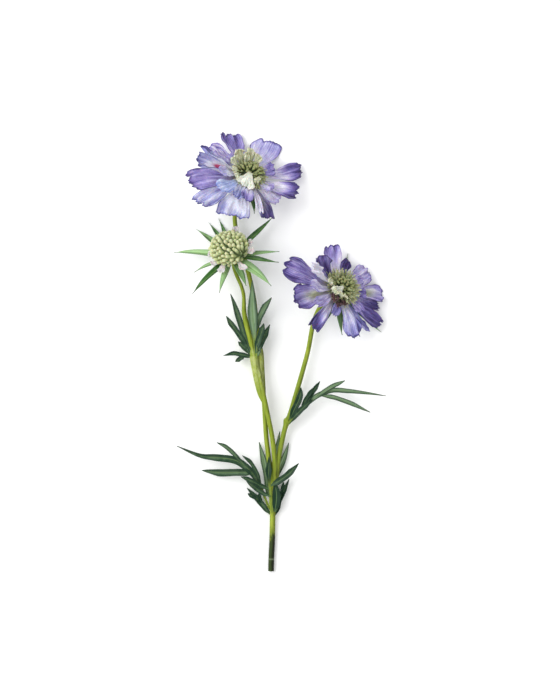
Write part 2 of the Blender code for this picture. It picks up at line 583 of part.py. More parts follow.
def main():
    for obj in list(bpy.data.objects):
        bpy.data.objects.remove(obj)
    stem_green = material("stem_green", (0.40, 0.50, 0.09), 0.5)
    leaf_green = material("leaf_green", (0.05, 0.15, 0.08), 0.55)
    pale_leaf = material("pale_leaf", (0.20, 0.33, 0.13), 0.55)
    bract_green = material("bract_green", (0.17, 0.35, 0.10), 0.55)
    lilac = material("lilac_petal", (0.36, 0.32, 0.72), 0.6)
    cream = material("cream_floret", (0.56, 0.58, 0.33), 0.65)
    build_stem(stem_green)
    build_bracts("top_head_bracts", TOP_HEAD, TOP_BRACTS, bract_green)
    build_petals("top_head_petals", TOP_HEAD, TOP_PETALS, lilac)
    build_disc("top_head_disc", TOP_HEAD, TOP_INNER, cream)
    build_bracts("right_head_bracts", RIGHT_HEAD, RIGHT_BRACTS, bract_green)
    build_petals("right_head_petals", RIGHT_HEAD, RIGHT_PETALS, lilac)
    build_disc("right_head_disc", RIGHT_HEAD, RIGHT_INNER, cream)
    build_young_head(bract_green, cream)
    build_leaves(leaf_green, pale_leaf)


main()
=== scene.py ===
"""The looks of a cut scabiosa stem that lies on a pale surface, seen from straight above.

Places are in millimetres from the middle of the stem's cut end, as in the part's source: x to the right,
y from the cut end towards the heads, z up from the surface. Colours are linear RGB.
"""

import math
import random
from collections import namedtuple

import bmesh
import bpy
from mathutils import Matrix, Vector, noise


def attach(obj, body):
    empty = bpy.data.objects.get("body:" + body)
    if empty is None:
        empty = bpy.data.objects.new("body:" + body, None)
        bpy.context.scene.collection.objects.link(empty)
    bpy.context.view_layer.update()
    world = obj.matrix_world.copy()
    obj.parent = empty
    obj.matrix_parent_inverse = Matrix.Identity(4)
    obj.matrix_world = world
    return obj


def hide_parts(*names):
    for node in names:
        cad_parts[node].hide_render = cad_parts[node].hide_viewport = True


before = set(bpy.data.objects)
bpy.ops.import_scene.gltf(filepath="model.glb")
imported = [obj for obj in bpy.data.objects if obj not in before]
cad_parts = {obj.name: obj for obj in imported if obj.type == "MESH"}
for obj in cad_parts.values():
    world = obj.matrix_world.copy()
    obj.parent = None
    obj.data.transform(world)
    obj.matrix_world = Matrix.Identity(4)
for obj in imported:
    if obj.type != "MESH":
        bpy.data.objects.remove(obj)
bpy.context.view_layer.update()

MM = 0.001
CUT_END = Vector((-7.15, -153.98, 0.0))
SEED = 11
TAU = 2 * math.pi

PETAL_THICK = 0.42
LEAF_THICK = 0.5
REST_HEIGHT = 0.3  # the lowest place of a blade's middle surface
SOLVE_STEPS = 12

# A root: the radius from the head's axis, and the height on it. A step: what each tier adds to the root.
RAY_ROOT = (5.2, 0.8)
RAY_STEP = (0, 1.1)
SMALL_ROOT = (6, 4)
INNER_ROOT = (7, 5.9)
INNER_STEP = (1.6, -1.5)
WHITE_ROOT = (4.2, 12.6)
WITHERED_ROOT = (5.6, 3.4)
YOUNG_BIT_ROOT = (10.4, 3.4)
OPEN_BRACT_ROOT = (5.4, -3.4)
YOUNG_BRACT_ROOT = (5, -1.6)

# Round bodies on a head's axis: places of (height, radius).
OPEN_CUP = [(-8, 2.4), (-7, 3.2), (-5.2, 4.8), (-3.6, 6.4), (-2.2, 7.2), (-0.8, 7)]
DISC_DOME = [(4.4, 7.4), (5.2, 8.2), (6.2, 8.2), (8.2, 6.6), (9.2, 3.4), (9.4, 1)]
YOUNG_CUP = [(-5.4, 2.3), (-4.6, 3.2), (-3.4, 4.6), (-1.8, 6.2), (-0.2, 7.4)]
YOUNG_CUSHION = [(0.3, 7), (1.6, 9.6), (3.4, 11), (6, 11.8), (9, 11.3), (12, 9), (13.8, 5.4), (14.4, 2)]
# One floret of height 1, in the same way.
PIN = [(0, 0.5), (0.4, 0.55), (0.66, 0.8), (0.84, 1), (0.95, 0.92), (1, 0.7)]
HAIR = [(0, 0.8), (0.5, 0.8), (0.88, 0.7), (0.95, 1.2), (1, 0.9)]
BUD = [(0, 0.8), (0.35, 0.86), (0.62, 1), (0.82, 1), (0.94, 0.84), (1, 0.6)]

PIN_COUNT, PIN_SPREAD = 118, 78  # the spread is in degrees from the head's axis
PIN_BENDS = (0.3, 1.1, 1.9)
PIN_RADIUS, HAIR_RADIUS = 0.84, 0.27
PIN_LENGTH, PIN_LONGER = 5.4, 2.8  # the pins grow longer from the middle of the disc outwards
HAIR_LENGTHS, HAIR_RISES = (8.0, 11.5), (12, 52)
PIN_FOOT, HAIR_FOOT, DISC_CORE = 4.9, 4.4, Vector((0, 0, 2.4))  # the feet lie on balls round the core
BUD_COUNT, BUD_SPREAD = 128, 122
BUD_LENGTH, BUD_RADII = 4.7, (1.05, 1.38)
BUD_BALL = (11.0, 6.6, 7.0)  # the radius, the half height, and the height of its middle
BUD_LEAN = Vector((-0.75, 0.65, 0))  # on the young head's own face

# The number that seeds the first petal of each kind, and the one that seeds the young head.
FIRST_RAY, FIRST_SMALL, FIRST_INNER, FIRST_FLORET, FIRST_BIT = 0, 20, 50, 70, 80
BUD_SEED = 40

PETAL_GRID = (60, 34)
SMALL_GRID = (34, 22)
INNER_GRID = (26, 18)
BRACT_GRID = (8, 22)
LEAF_ACROSS = 10
STEM_SIDES = 20
STEM_RIBS = 5
STEM_STEPS, LEAF_STEPS = 5, 8  # steps of a smooth line between two of its places
SHEATH_BAND = (122, 157)  # from where to where up the stem it is paler
DARK_END = (22, 30)  # where up the stem its dark end gives way to green
CUT_RING = 8.4  # where up the stem its thin pale ring is

Head = namedtuple("Head", "centre tilt heading")
# reach: how far the tip is from the head's centre, seen from above. rise: the angle up from the head's face
# at the root, in degrees, and curl: how much more it is at the tip. cup: how much the sides turn up. twist:
# the turn about the petal's own length, in degrees. skew: how much longer one side is. tier: how many steps
# its root is moved.
Petal = namedtuple("Petal", "heading reach width rise curl cup twist skew tier", defaults=(0, 0, 0))
# middle and tip: from 0, nearly white, to 1, deep violet. blue: the share of blue. streak: how striped it is.
# rim: how dark its edge is. roll: how far its edges curl over. heart: how green its middle is. blush: how red
# a spot on it is. ruffle: how crumpled it is. corner: how far its tip is rounded off.
Look = namedtuple("Look", "middle tip blue streak rim roll heart blush ruffle corner",
                  defaults=(0, 0.3, 0.3, 0, 0, 0, 1, None))
PLAIN = Look(0, 0)
Bract = namedtuple("Bract", "heading reach width rise curl pale")
# pale: from 0, dark, to 1, pale, or a little more. fold: how much its sides turn up.
Lobe = namedtuple("Lobe", "width pale points fold", defaults=(0.5,))
# One open head. round_tip: how far its petals' tips are rounded off, where their looks do not say. hairs:
# ranges of headings on its own face, with how many long pale hairs stand there. bare: the range where the
# disc has hardly any pins, so that its dark dome shows.
Bloom = namedtuple("Bloom", "side head petals small round_tip inner bracts hairs bare")

TOP_HEAD = Head(centre=(-16.8, 274, 15.6), tilt=38, heading=60)
RIGHT_HEAD = Head(centre=(46, 195.4, 18.2), tilt=42, heading=39)
YOUNG_HEAD = Head(centre=(-27, 220.8, 20), tilt=42, heading=108)

MAIN_STEM = [
    (0, 0, 1.95, 2), (0.3, 11, 1.95, 2), (0.8, 21, 2.3, 2), (1.1, 35, 3.1, 1.95),
    (1.3, 44, 3.7, 2), (1.4, 48, 4, 2.7), (1.5, 53, 4.4, 2.7), (1.6, 58, 4.8, 1.8),
]
TOP_BRANCH = [
    (1.4, 50, 4, 1.6), (0.6, 63, 4.6, 1.7), (-1.5, 78.4, 5, 1.7), (-3.3, 93.8, 5.2, 1.65),
    (-4.3, 109.9, 5.3, 1.65), (-5.3, 126, 5.3, 1.6), (-6.4, 142.1, 5.4, 1.6), (-7.9, 158.2, 5.6, 1.6),
    (-9.8, 172.2, 5.8, 1.6), (-11.7, 189, 6, 1.6), (-14.6, 203.7, 6, 1.6), (-18.6, 219.1, 5.8, 1.6),
    (-22.8, 231.7, 5.6, 1.55), (-25.2, 244.3, 5.4, 1.5), (-24.8, 255.4, 5.2, 1.5), (-23, 262.4, 5.6, 1.5),
    (-20.6, 267.6, 6.2, 1.6), (-19.1, 270, 9.8, 1.9),
]
YOUNG_BRANCH = [
    (1.5, 50.5, 4.6, 1.6), (2.6, 64, 6.4, 1.65), (2.6, 77, 7.6, 1.65), (1.2, 91.7, 8.8, 1.65),
    (-1.4, 105.7, 9.7, 1.6), (-5.1, 123.2, 10.4, 1.6), (-8.6, 139.3, 10.5, 1.6), (-11, 148, 10.4, 2),
    (-12, 151.5, 10.3, 2.7), (-12.8, 155.5, 10.2, 2.1), (-15, 165.2, 10, 2), (-17.2, 173.4, 9.8, 1.9),
    (-18.7, 181, 9.6, 1.6), (-18.8, 188, 9.4, 1.35), (-19.2, 194, 9.2, 1.25), (-21, 200, 9, 1.25),
    (-23.8, 206.4, 9.2, 1.3), (-25.4, 211.4, 10.2, 1.45), (-26, 215, 13.2, 1.6), (-25.8, 217.5, 16.4, 1.9),
]
RIGHT_BRANCH = [
    (1.7, 51, 4.4, 1.6), (3.6, 63.7, 5.2, 1.7), (5, 77, 5.8, 1.75), (7.8, 91.7, 6.4, 1.75),
    (10.2, 101.6, 6.8, 1.8), (11.4, 105, 7, 2.8), (12.8, 108.4, 7.2, 1.75), (16.8, 121.5, 7.4, 1.7),
    (21.9, 139.3, 7.6, 1.65), (26, 154.7, 7.4, 1.6), (28.6, 169, 7.2, 1.6), (31, 178, 7.2, 1.55),
    (34.6, 185, 7.8, 1.55), (39.8, 190.4, 9.2, 1.6), (42, 192.2, 12.6, 1.9),
]

# The two swellings of the pale sheath below the left branch's node, where two branches have grown together.
LEFT_SHEATH = [
    (-12, 153.4, 10.2, 1.9), (-11.8, 151, 10, 3.1), (-10.6, 142, 9.6, 2.9), (-9.2, 133, 9.4, 2.5),
    (-7.2, 124, 9.6, 2), (-3.8, 116, 9.9, 1.2),
]
RIGHT_SHEATH = [
    (-7.6, 158, 6.4, 1.3), (-7.9, 151.5, 7.2, 2.9), (-7.3, 142, 7, 2.8), (-6.4, 133, 6.4, 2.4),
    (-5.5, 124, 5.8, 1.9), (-4.6, 114, 5.3, 1.2),
]

TOP_PETALS = [
    (Petal(111, 35.5, 16, 2, 6, 0.15, 10, 0.07), Look(0.6, 0.76, 0, 0.5, 0.5)),
    (Petal(60, 31.5, 22.5, 3, 10, 0.15, -4, -0.11), Look(0.18, 0.32, 0.15, 0.5, 0.9, ruffle=0.6, corner=0.2)),
    (Petal(8, 39, 12.5, 2, 6, 0.3, 14, 0.03, 1), Look(0.04, 0.84, rim=0.7)),
    (Petal(345, 38, 13, -2, 32, 0.5, 28, 0.03, 1), Look(0.02, 1, 0, 0.4, 0.6)),
    (Petal(322, 28, 14, -4, -10, 0.1, -10, 0, 2), Look(0.04, 0.14, 0, 0.4, 0.4)),
    (Petal(298, 32.5, 12.5, -6, -16, 0.5, 30, 0.1), Look(0.24, 0.84, 0, 0.6, 0.6, roll=1, heart=1)),
    (Petal(248, 30, 23.5, -8, -26, -0.1, 0, -0.09, 1), Look(-0.2, 0.22, 0.5, 0.5, 0.7, corner=0.03)),
    (Petal(209, 39, 14, 0, -18, 0.1, -14, -0.1), Look(0.24, 0.24, 0.5, 0.7, 0.9)),
    (Petal(184, 40.5, 16, 4, -8, 0.2, -14, -0.05, 1), Look(0.44, 0.6, 0, 0.4, 0.6)),
    (Petal(159, 38, 12.5, 8, 6, 0.4, -26, -0.06), Look(-0.2, 0.46, 0.5, rim=0.8, roll=1, blush=2.2)),
    (Petal(141, 34, 12.5, 9, 0, 0.4, 20, -0.04, 1), Look(0.24, 0.34, 0, 1.5, 0.5, roll=0.6)),
]
RIGHT_PETALS = [
    (Petal(97, 33.5, 14, 6, 10, 0.2, -10, -0.04, 1), Look(0.16, 0.66, rim=0.9, ruffle=0.5, corner=0.16)),
    (Petal(73, 23.5, 8, 2, 10, 0.3), Look(0.8, 0.86)),
    (Petal(33, 26, 15, 6, 4, 0.2, 0, 0, 1), Look(0.26, 0.32, 0, 0.5, 0.7)),
    (Petal(355, 33.5, 15.5, 2, 0, 0.3, -10, 0.04, 1), Look(0.18, 0.56, rim=0.7, heart=1.1)),
    (Petal(340, 31, 10, -4, -6, 0.3, 14, -0.05), Look(0.5, 0.84, rim=0.4)),
    (Petal(322, 39, 11, -8, 0, 0.4, 24, 0.04), Look(0.66, 0.94, rim=0.6)),
    (Petal(306, 36, 5, -14, -4, 0.2), Look(0.5, 0.6, 0.4, 0.2, 0.2)),
    (Petal(292, 35.5, 16.5, -4, -6, -0.1, 0, 0, 1), Look(0.2, 0.6, 0.4, 0.9, 1, ruffle=0.5, corner=0.36)),
    (Petal(237, 31.5, 12.5, -8, -22, -0.2, 14, 0.02), Look(0.12, 1, 0.2, rim=0.7, roll=0.8, corner=0.05)),
    (Petal(192, 31.5, 20, 0, -20, 0.2, 14, 0.04, 1), Look(0.24, 0.74, 0, 0.4, 0.9, heart=1.1)),
    (Petal(152, 41, 19.5, 4, 6, -0.1, -14, 0.04, 1), Look(0.56, 0.78, 0, 1.2, 1, ruffle=0.5)),
    (Petal(120, 29, 13, 12, 20, 0.6, -24, 0, 1), Look(0.78, 0.74, 0, 0.4, 0.7, roll=1)),
]
# The second, smaller petals between the disc and the large ones.
TOP_SMALL = [
    (Petal(20, 21, 10, 14, 10, 0.3, 10, 0.05), Look(0.5, 0.62, 0, 0.5, 0.2)),
    (Petal(335, 20, 9, 12, 0, 0.3, -20), Look(0.1, 0.4, 0, 0.5, 0.2)),
    (Petal(292, 27, 6, 6, -16, 0.6, 30, 0.08), Look(-0.1, -0.1, rim=0.2, roll=1)),
    (Petal(270, 16, 9, 16, -20, 0.2, 10, 0.08), Look(0.12, 0.6, 0, 0.6, 0.4)),
    (Petal(240, 17, 9, 10, -20, 0.3, -12), Look(0.12, 0.5, 0.6, 0.5)),
    (Petal(206, 22, 12, 8, -6, 0.2, 10), Look(0.3, 0.3, 1, 0.6, 0.2)),
    (Petal(168, 20, 9, 14, 0, 0.3, 16), Look(0.08, 0.3, 0.2, 0.4, 0.2)),
    (Petal(132, 21, 9, 18, 0, 0.3, -16), Look(0.4, 0.5, 0, 0.8, 0.2)),
    (Petal(147, 40, 4.5, 10, 2, 0.5, 30), Look(-0.1, 0.8, 0.4, 0.5, 0.6, roll=1)),
]
RIGHT_SMALL = [
    (Petal(20, 20, 10, 14, 0, 0.3, 10, 0.05), Look(0.3, 0.46, 0, 0.5, 0.2)),
    (Petal(352, 21, 8, 8, 0, 0.3, -20), Look(0.5, 0.7, 0, 0.5, 0.2)),
    (Petal(318, 22, 8, 2, -10, 0.4, 10, 0.08), Look(0.4, 0.55, 0, 0.6, 0.2)),
    (Petal(262, 17, 8, -4, -10, 0.3, -12), Look(0.6, 0.5, 0.3, 0.5, blush=1)),
    (Petal(214, 19, 9, 10, -6, 0.2, 10), Look(0.3, 0.5, 0, 0.6, 0.2)),
    (Petal(172, 20, 9, 14, 0, 0.3, 16), Look(0.14, 0.36, 0, 0.4, 0.2)),
    (Petal(137, 27, 8, 22, 4, 0.5, -20), Look(-0.2, -0.2, rim=0.2, roll=0.6, ruffle=2.2)),
]
TOP_INNER = [
    Petal(140, 9.5, 5, 30, 30, 0.4, 20, 0.1), Petal(126, 12.5, 7.5, 26, 26, 0.25, 0, 0.1),
    Petal(106, 13.5, 8, 34, 14, 0.15, -10, 0.1), Petal(92, 10.5, 5.5, 48, 6, 0.3, 10, -0.1, -1),
    Petal(80, 12.5, 7.5, 28, 16, 0.2, 10, 0.1), Petal(60, 10, 6, 32, 20, 0.4, 0, 0.1),
    Petal(352, 9.5, 4.5, 50, 40, 0.5), Petal(176, 8, 4.5, 24, 10, 0.4, 0, 0.1),
    Petal(156, 8, 4.5, 30, 20, 0.4, 0, 0.1),
]
RIGHT_INNER = [
    Petal(150, 11, 6, 50, 30, 0.4, 0, 0.1), Petal(164, 10, 5, 30, 30, 0.4, 0, 0.1),
    Petal(178, 10.5, 6, 40, 14, 0.3), Petal(128, 10, 6, 34, 16, 0.4, 0, 0.1),
    Petal(200, 9.5, 6, 44, 20, 0.3, 10, 0.1),
]
# The one white floret that lies over the front of each disc.
TOP_WHITE = [Petal(252, 11, 14.5, -10, -34, 0, 8, 0.1)]
RIGHT_WHITE = [Petal(218, 7, 7, -8, -30, 0.05, 10, 0.1)]
# Withered florets at the foot of the right head's disc.
RIGHT_WITHERED = [
    Petal(236, 9.5, 5, 20, 10, 0.6, 10, 0.1), Petal(250, 10.5, 5, 16, 10, 0.6, 20, 0.1),
    Petal(266, 10.5, 5, 10, 10, 0.6, -20, 0.1), Petal(282, 10.5, 6, 14, 0, 0.6, 10),
    Petal(298, 9.5, 5, 20, 10, 0.6, 0, 0.1),
]
# The bits of petal that already show round the young head.
YOUNG_INNER = [
    Petal(82, 20.5, 5, 30, 10, 0.4), Petal(31, 17, 6, 20, 20, 0.6, 0, 0.1),
    Petal(10, 16, 5.5, 14, 10, 0.6, 20), Petal(308, 14.5, 5.5, -14, 6, 0.5, 0, 0.1),
    Petal(238, 15, 5.5, -10, 6, 0.5), Petal(181, 17, 5, 0, 10, 0.5),
    Petal(208, 16, 5, -6, 10, 0.5),
]

TOP_BRACTS = [
    Bract(heading, reach, 3.6, -17, -6, pale)
    for heading, reach, pale in (
        (20, 22, 0.2), (60, 17, 0.2), (95, 20, 0.2), (130, 23, 0.2), (165, 24, 0.2), (200, 25, 0.3),
        (236, 24, 0.1), (282, 25, 0.2), (325, 24, 0.2),
    )
]
RIGHT_BRACTS = [
    Bract(74, 28, 3, -6, -2, 0.1), Bract(35, 17, 3.6, -14, -4, 0.2), Bract(5, 20, 3.6, -16, -4, 0.2),
    Bract(318, 42, 4.6, -7, -4, 0.5), Bract(277, 30.5, 4.6, -11, -6, 0.4), Bract(250, 22, 3.6, -20, -8, 0.2),
    Bract(197, 29, 3.4, -13, -8, 0), Bract(160, 22, 3.6, -14, -4, 0.2), Bract(118, 22, 3.6, -12, -4, 0.2),
]
YOUNG_BRACTS = [
    Bract(177, 41, 5.4, 2, -4, 1), Bract(144, 32, 4, -2, 2, 0.4), Bract(126, 28.5, 3.2, 2, 4, 0.1),
    Bract(111, 27.5, 3, 0, 6, 0.1), Bract(44, 40, 4, 6, -2, 0.1), Bract(4, 33, 3.6, 4, -4, 0.7),
    Bract(351, 33, 3.8, 0, -12, 0.1), Bract(321, 35, 6.2, 4, -16, 1), Bract(294, 24, 4.6, -6, -10, 0.5),
    Bract(252, 28, 4.2, 2, -12, 0.9), Bract(225, 38.5, 5.2, 4, -10, 0.05), Bract(205, 29, 2.8, 0, -6, 0.9),
]

BLOOMS = [
    Bloom("top", TOP_HEAD, TOP_PETALS, TOP_SMALL, 0.11, TOP_INNER, TOP_BRACTS, [(0, 360, 40)], (196, 236)),
    Bloom("right", RIGHT_HEAD, RIGHT_PETALS, RIGHT_SMALL, 0.24, RIGHT_INNER, RIGHT_BRACTS,
          [(10, 150, 130), (-80, 10, 80), (150, 280, 30)], (196, 262)),
]

# Each leaf: the share of its rib that is a bare stalk, and its lobes, the rib with the tip first.
LEAVES = {
    "leaf_fork_left": (0.16, [
        Lobe(4.8, 0.1, [(0.2, 42.6, 3.4), (-2.6, 47.4, 4.2), (-6.6, 57.5, 5.6), (-12.4, 68, 7.8),
            (-20, 75, 9.2), (-27, 78.4, 9.6), (-39.2, 79.8, 8.8), (-50, 81, 6.6), (-66, 87.6, 2.6)]),
        Lobe(4.8, 0.2, [(-12, 68.6, 7.8), (-19.6, 69.4, 8.2), (-34.3, 69, 6.6), (-48.5, 70.5, 3.4)]),
        Lobe(2.7, 0.3, [(-18.6, 74.2, 9.2), (-24.5, 80.9, 10.6), (-30.8, 86.8, 10.2), (-37.8, 90.2, 8.6)]),
        Lobe(2.4, 0.1, [(-6.6, 58.6, 5.8), (-9.6, 68.4, 9), (-14.4, 76.6, 11), (-20, 81.2, 11.4)]),
    ]),
    "leaf_fork_front": (0.42, [
        Lobe(4.2, 0, [(1, 40.2, 4.8), (0.4, 46.6, 7.2), (-0.6, 56.7, 9.8), (-1.6, 67.2, 10.6),
            (-1.5, 73.5, 10.8), (-1.4, 80.4, 11.2)]),
        Lobe(4.2, 0.1, [(-0.3, 60, 9.9), (5.6, 63.4, 10.8), (12.6, 68.6, 10.8), (19.4, 75.7, 9.4)]),
        Lobe(3.2, 0.1, [(-0.6, 57.6, 9.9), (-8.4, 60.6, 9.6), (-15, 64.2, 12), (-21, 66.4, 11.6)]),
        Lobe(3, 0.1, [(-0.2, 52.6, 9.2), (-6.4, 55.2, 9.8), (-12.2, 59.6, 11), (-17, 63.4, 13.6)]),
        Lobe(5.2, 0, [(2.6, 41.6, 5), (3.6, 48, 7), (3.8, 55, 8), (2.6, 62, 8.8)]),
    ]),
    "leaf_fork_low_left": (0.06, [
        Lobe(3.6, 0.1, [(0.2, 39.2, 2.8), (-2.8, 42.6, 2.8), (-6.4, 47, 2.9), (-11, 52.2, 2.6),
            (-16.8, 58.2, 1.8)]),
        Lobe(2.4, 0, [(-6.4, 47, 2.9), (-7.8, 51, 3.2), (-8.4, 54.6, 3.2)]),
        Lobe(2.4, 0.1, [(-9.4, 50.4, 2.8), (-13.4, 52.6, 2.6), (-16.2, 54.4, 2)]),
    ]),
    "leaf_fork_right": (0.1, [
        Lobe(3.2, 0, [(2, 38, 3), (4.5, 42.6, 3), (5.9, 49.4, 3.4), (9.6, 57.4, 3.4), (12.6, 64.4, 2.8)]),
        Lobe(2, 0, [(6.8, 52, 3.4), (8, 58, 4.2), (8.8, 62.6, 4.2)]),
    ]),
    "leaf_fork_back": (0, [
        Lobe(4.4, 1.1, [(0.2, 50, 3.2), (-1.8, 56.6, 1.7), (-2.6, 65, 1.5), (-5, 77, 1.6),
            (-8.3, 90.4, 2.4)]),
        Lobe(3.6, 1.1, [(-2.2, 61, 1.5), (3, 66, 1.5), (8.4, 77, 1.8), (12.4, 89.8, 3)]),
        Lobe(3.4, 1.3, [(-2.2, 60, 1.5), (1.2, 70, 1.5), (3.4, 82, 1.8), (6.2, 97.8, 3)]),
    ]),
    "leaf_branch_right": (0.16, [
        Lobe(3.3, 0.7, [(11.6, 102.4, 7.6), (13.6, 105.6, 10.4), (17.6, 110.2, 11.2), (23.1, 115.4, 12),
            (28.7, 120.4, 12.8), (34.3, 123.8, 13.2), (43.4, 126.7, 13.4), (53.9, 126.2, 12.2),
            (66.5, 124.7, 9.6), (80.4, 122.6, 5.6)]),
        Lobe(2.9, 0.7, [(33.6, 123.2, 13.2), (43.4, 121.8, 12.4), (54.5, 118, 10), (69.4, 111.2, 6)]),
        Lobe(2.9, 0.7, [(31.6, 122, 13), (41.3, 128.6, 14.6), (51.6, 133.4, 14.2)]),
        Lobe(3, 0, [(24.4, 116.6, 11.8), (28.6, 124.6, 14), (34.1, 132.8, 15)]),
        Lobe(2.8, 0, [(21, 113.4, 11.2), (24.8, 121, 13.6), (29.4, 128.4, 15.2)]),
        Lobe(4.2, 0, [(13, 106, 10.6), (16.4, 113.6, 12.4), (20, 121.5, 13), (20.9, 128.6, 13.2)]),
        Lobe(3.6, 0.1, [(12.4, 103.2, 8.6), (17, 109, 12), (22.4, 114.4, 13), (29, 120, 13.4)]),
    ]),
    "leaf_upper_left": (0.1, [
        Lobe(3.9, 0.2, [(-12, 147.8, 11.2), (-14.6, 152.4, 11), (-18.6, 164.4, 9.4), (-23.8, 181.6, 10),
            (-28.2, 193.8, 10.6)]),
        Lobe(3.5, 0.1, [(-15, 153.4, 10.8), (-21.2, 164, 9.6), (-27.2, 172.2, 8.6), (-31.3, 178.4, 7)]),
        Lobe(3.2, 0.1, [(-14, 151.6, 11), (-19.2, 157, 9.8), (-22.8, 160.6, 9)]),
    ]),
    "leaf_upper_right": (0.4, [
        Lobe(6.6, 0.9, [(-10.8, 147.2, 11.2), (-10.6, 153, 13.2), (-11.6, 165, 13.5), (-12.9, 184, 13.6),
            (-13, 203.2, 14.6)]),
        Lobe(4.2, 0.5, [(-11.4, 166, 13.4), (-8.8, 175.2, 12.8), (-4.9, 183.6, 12.6), (0.4, 191.3, 12)]),
        Lobe(4.2, 0.1, [(-10.5, 152.4, 13.3), (-9, 160, 13.6), (-6.6, 167.4, 13), (-5, 173.2, 12.4)]),
        Lobe(3.8, 0.1, [(-10.2, 152.6, 13.3), (-6.2, 160.6, 12.4), (-0.8, 172.4, 10.4)]),
        Lobe(3.4, 1.2, [(-9, 150.6, 12.4), (-8.7, 156, 13.2), (-8, 161.6, 12.6)]),
    ]),
    "leaf_upper_low": (0.06, [
        Lobe(3, 0.1, [(-12.2, 150.2, 9.4), (-15.9, 150.4, 8.9), (-21, 151.6, 8.8), (-26.6, 152.3, 7.6),
            (-33.2, 150.8, 5.6)]),
        Lobe(2.8, 0.1, [(-18, 150.8, 8.8), (-21.7, 148.6, 8), (-24.8, 146.4, 6.8)]),
    ]),
}

PETAL_LAYERS = ("across", "along", "tone", "claw_and_shade", "heart", "blush", "blue", "streak", "number")

PIXEL = 0.7  # mm of the object to a pixel of the photograph
PICTURE = (560, 700)
CUT_END_PIXEL = (271, 571)
LENS, SENSOR = 200.0, 36.0
SKY = 0.86
# Lamps of (name, place in metres, power in watts).
LAMPS = [("key", (-1.2, 0.5, 1.4), 28.0), ("fill", (1.1, -0.5, 1.2), 3.0)]
LAMP_WIDTH = 1.6
FLOOR_HALF = 4.0


# Shape


def smoothstep(x):
    x = min(max(x, 0.0), 1.0)
    return x * x * (3 - 2 * x)


def smooth_line(points, per_span):
    """A Catmull-Rom line through the points, with per_span steps between each two."""
    rows = [Vector(p) for p in points]
    rows = [2 * rows[0] - rows[1], *rows, 2 * rows[-1] - rows[-2]]
    line = []
    for a, b, c, d in zip(rows, rows[1:], rows[2:], rows[3:]):
        for step in range(per_span):
            t = step / per_span
            bend = 2 * a - 5 * b + 4 * c - d
            line.append(0.5 * (2 * b + (c - a) * t + bend * t**2 + (3 * (b - c) + d - a) * t**3))
    line.append(rows[-2])
    return line


def rested(height):
    """The height, gently kept above the surface."""
    above = height - REST_HEIGHT
    return REST_HEIGHT + 0.5 * (above + math.sqrt(above * above + 0.4))


def span_at(line, share):
    """The number of the line's span that holds this share of its length, and the share within that span."""
    place = min(max(share, 0.0), 1.0) * (len(line) - 1)
    i = min(int(place), len(line) - 2)
    return i, place - i


def point_on(line, t):
    """The point at share t of the line, and the line's direction there."""
    i, share = span_at(line, t)
    before = line[max(i - 1, 0)]
    after = line[min(i + 2, len(line) - 1)]
    along = (line[i + 1] - before).normalized().lerp((after - line[i]).normalized(), share)
    return line[i].lerp(line[i + 1], share), along.normalized()


def axes_from(facing, side):
    """Axes with z the way a thing faces, and x as near to side as that allows."""
    across = (side - facing * side.dot(facing)).normalized()
    return Matrix((across, facing.cross(across), facing)).transposed()


def head_axes(head):
    """A head's axes: x and y across its face, z the way it faces."""
    tilt, heading = math.radians(head.tilt), math.radians(head.heading)
    lean = math.sin(tilt)
    facing = Vector((lean * math.cos(heading), lean * math.sin(heading), math.cos(tilt)))
    return axes_from(facing, Vector((1, 0, 0)))


def centre_line(rise, curl, steps=24):
    """A petal's unit middle line as (out, up, angle). It starts rise degrees up, and ends curl more."""
    out = up = 0.0
    rows = [(out, up, math.radians(rise))]
    for step in range(steps):
        share = (step + 0.5) / steps
        angle = math.radians(rise + curl * share**1.5)
        out += math.cos(angle) / steps
        up += math.sin(angle) / steps
        rows.append((out, up, math.radians(rise + curl * ((step + 1) / steps) ** 1.5)))
    return [Vector(row) for row in rows]


class Radial:
    """The line of a petal or bract, from its root at a radius and height on a head's own axis.

    The line leaves the axis so that, seen from above, its tip lies on the piece's heading from the head's
    centre, and as far out as its reach. With a length it is as long as that instead.
    """

    def __init__(self, head, piece, root, length=None):
        radius, height = root
        axes = head_axes(head)
        self.axis = axes.col[2].copy()
        self.line = centre_line(piece.rise, piece.curl)
        gained = self.line[-1]
        heading = math.radians(piece.heading)
        forward = Vector((math.cos(heading), math.sin(heading), 0))
        beside = Vector((-math.sin(heading), math.cos(heading), 0))
        flat = Vector((axes.col[0].dot(beside), axes.col[1].dot(beside)))
        lean = math.atan2(flat.y, flat.x)
        self.length = length or piece.reach
        for _ in range(SOLVE_STEPS):
            drift = (height + self.length * gained.y) * self.axis.dot(beside)
            aside = -drift / (radius + self.length * gained.x) / flat.length
            turn = math.acos(min(max(aside, -1.0), 1.0))
            ways = [Vector((math.cos(at), math.sin(at), 0)) for at in (lean + turn, lean - turn)]
            self.out = max((axes @ way for way in ways), key=forward.dot)
            if length is None:
                rooted = (self.out * radius + self.axis * height).dot(forward)
                step = (self.out * gained.x + self.axis * gained.y).dot(forward)
                self.length = (piece.reach - rooted) / step
        self.side = self.axis.cross(self.out)
        self.root = Vector(head.centre) + self.out * radius + self.axis * height

    def at(self, share, twist=0.0):
        """The point at this share of the length, with the directions across and off the surface there."""
        i, part = span_at(self.line, share)
        out, up, angle = self.line[i].lerp(self.line[i + 1], part)
        beyond = max(share - 1.0, 0.0)
        out += beyond * math.cos(angle)
        up += beyond * math.sin(angle)
        point = self.root + (self.out * out + self.axis * up) * self.length
        normal = self.axis * math.cos(angle) - self.out * math.sin(angle)
        turn = math.radians(twist) * share
        across = self.side * math.cos(turn) + normal * math.sin(turn)
        return point, across, normal * math.cos(turn) - self.side * math.sin(turn)


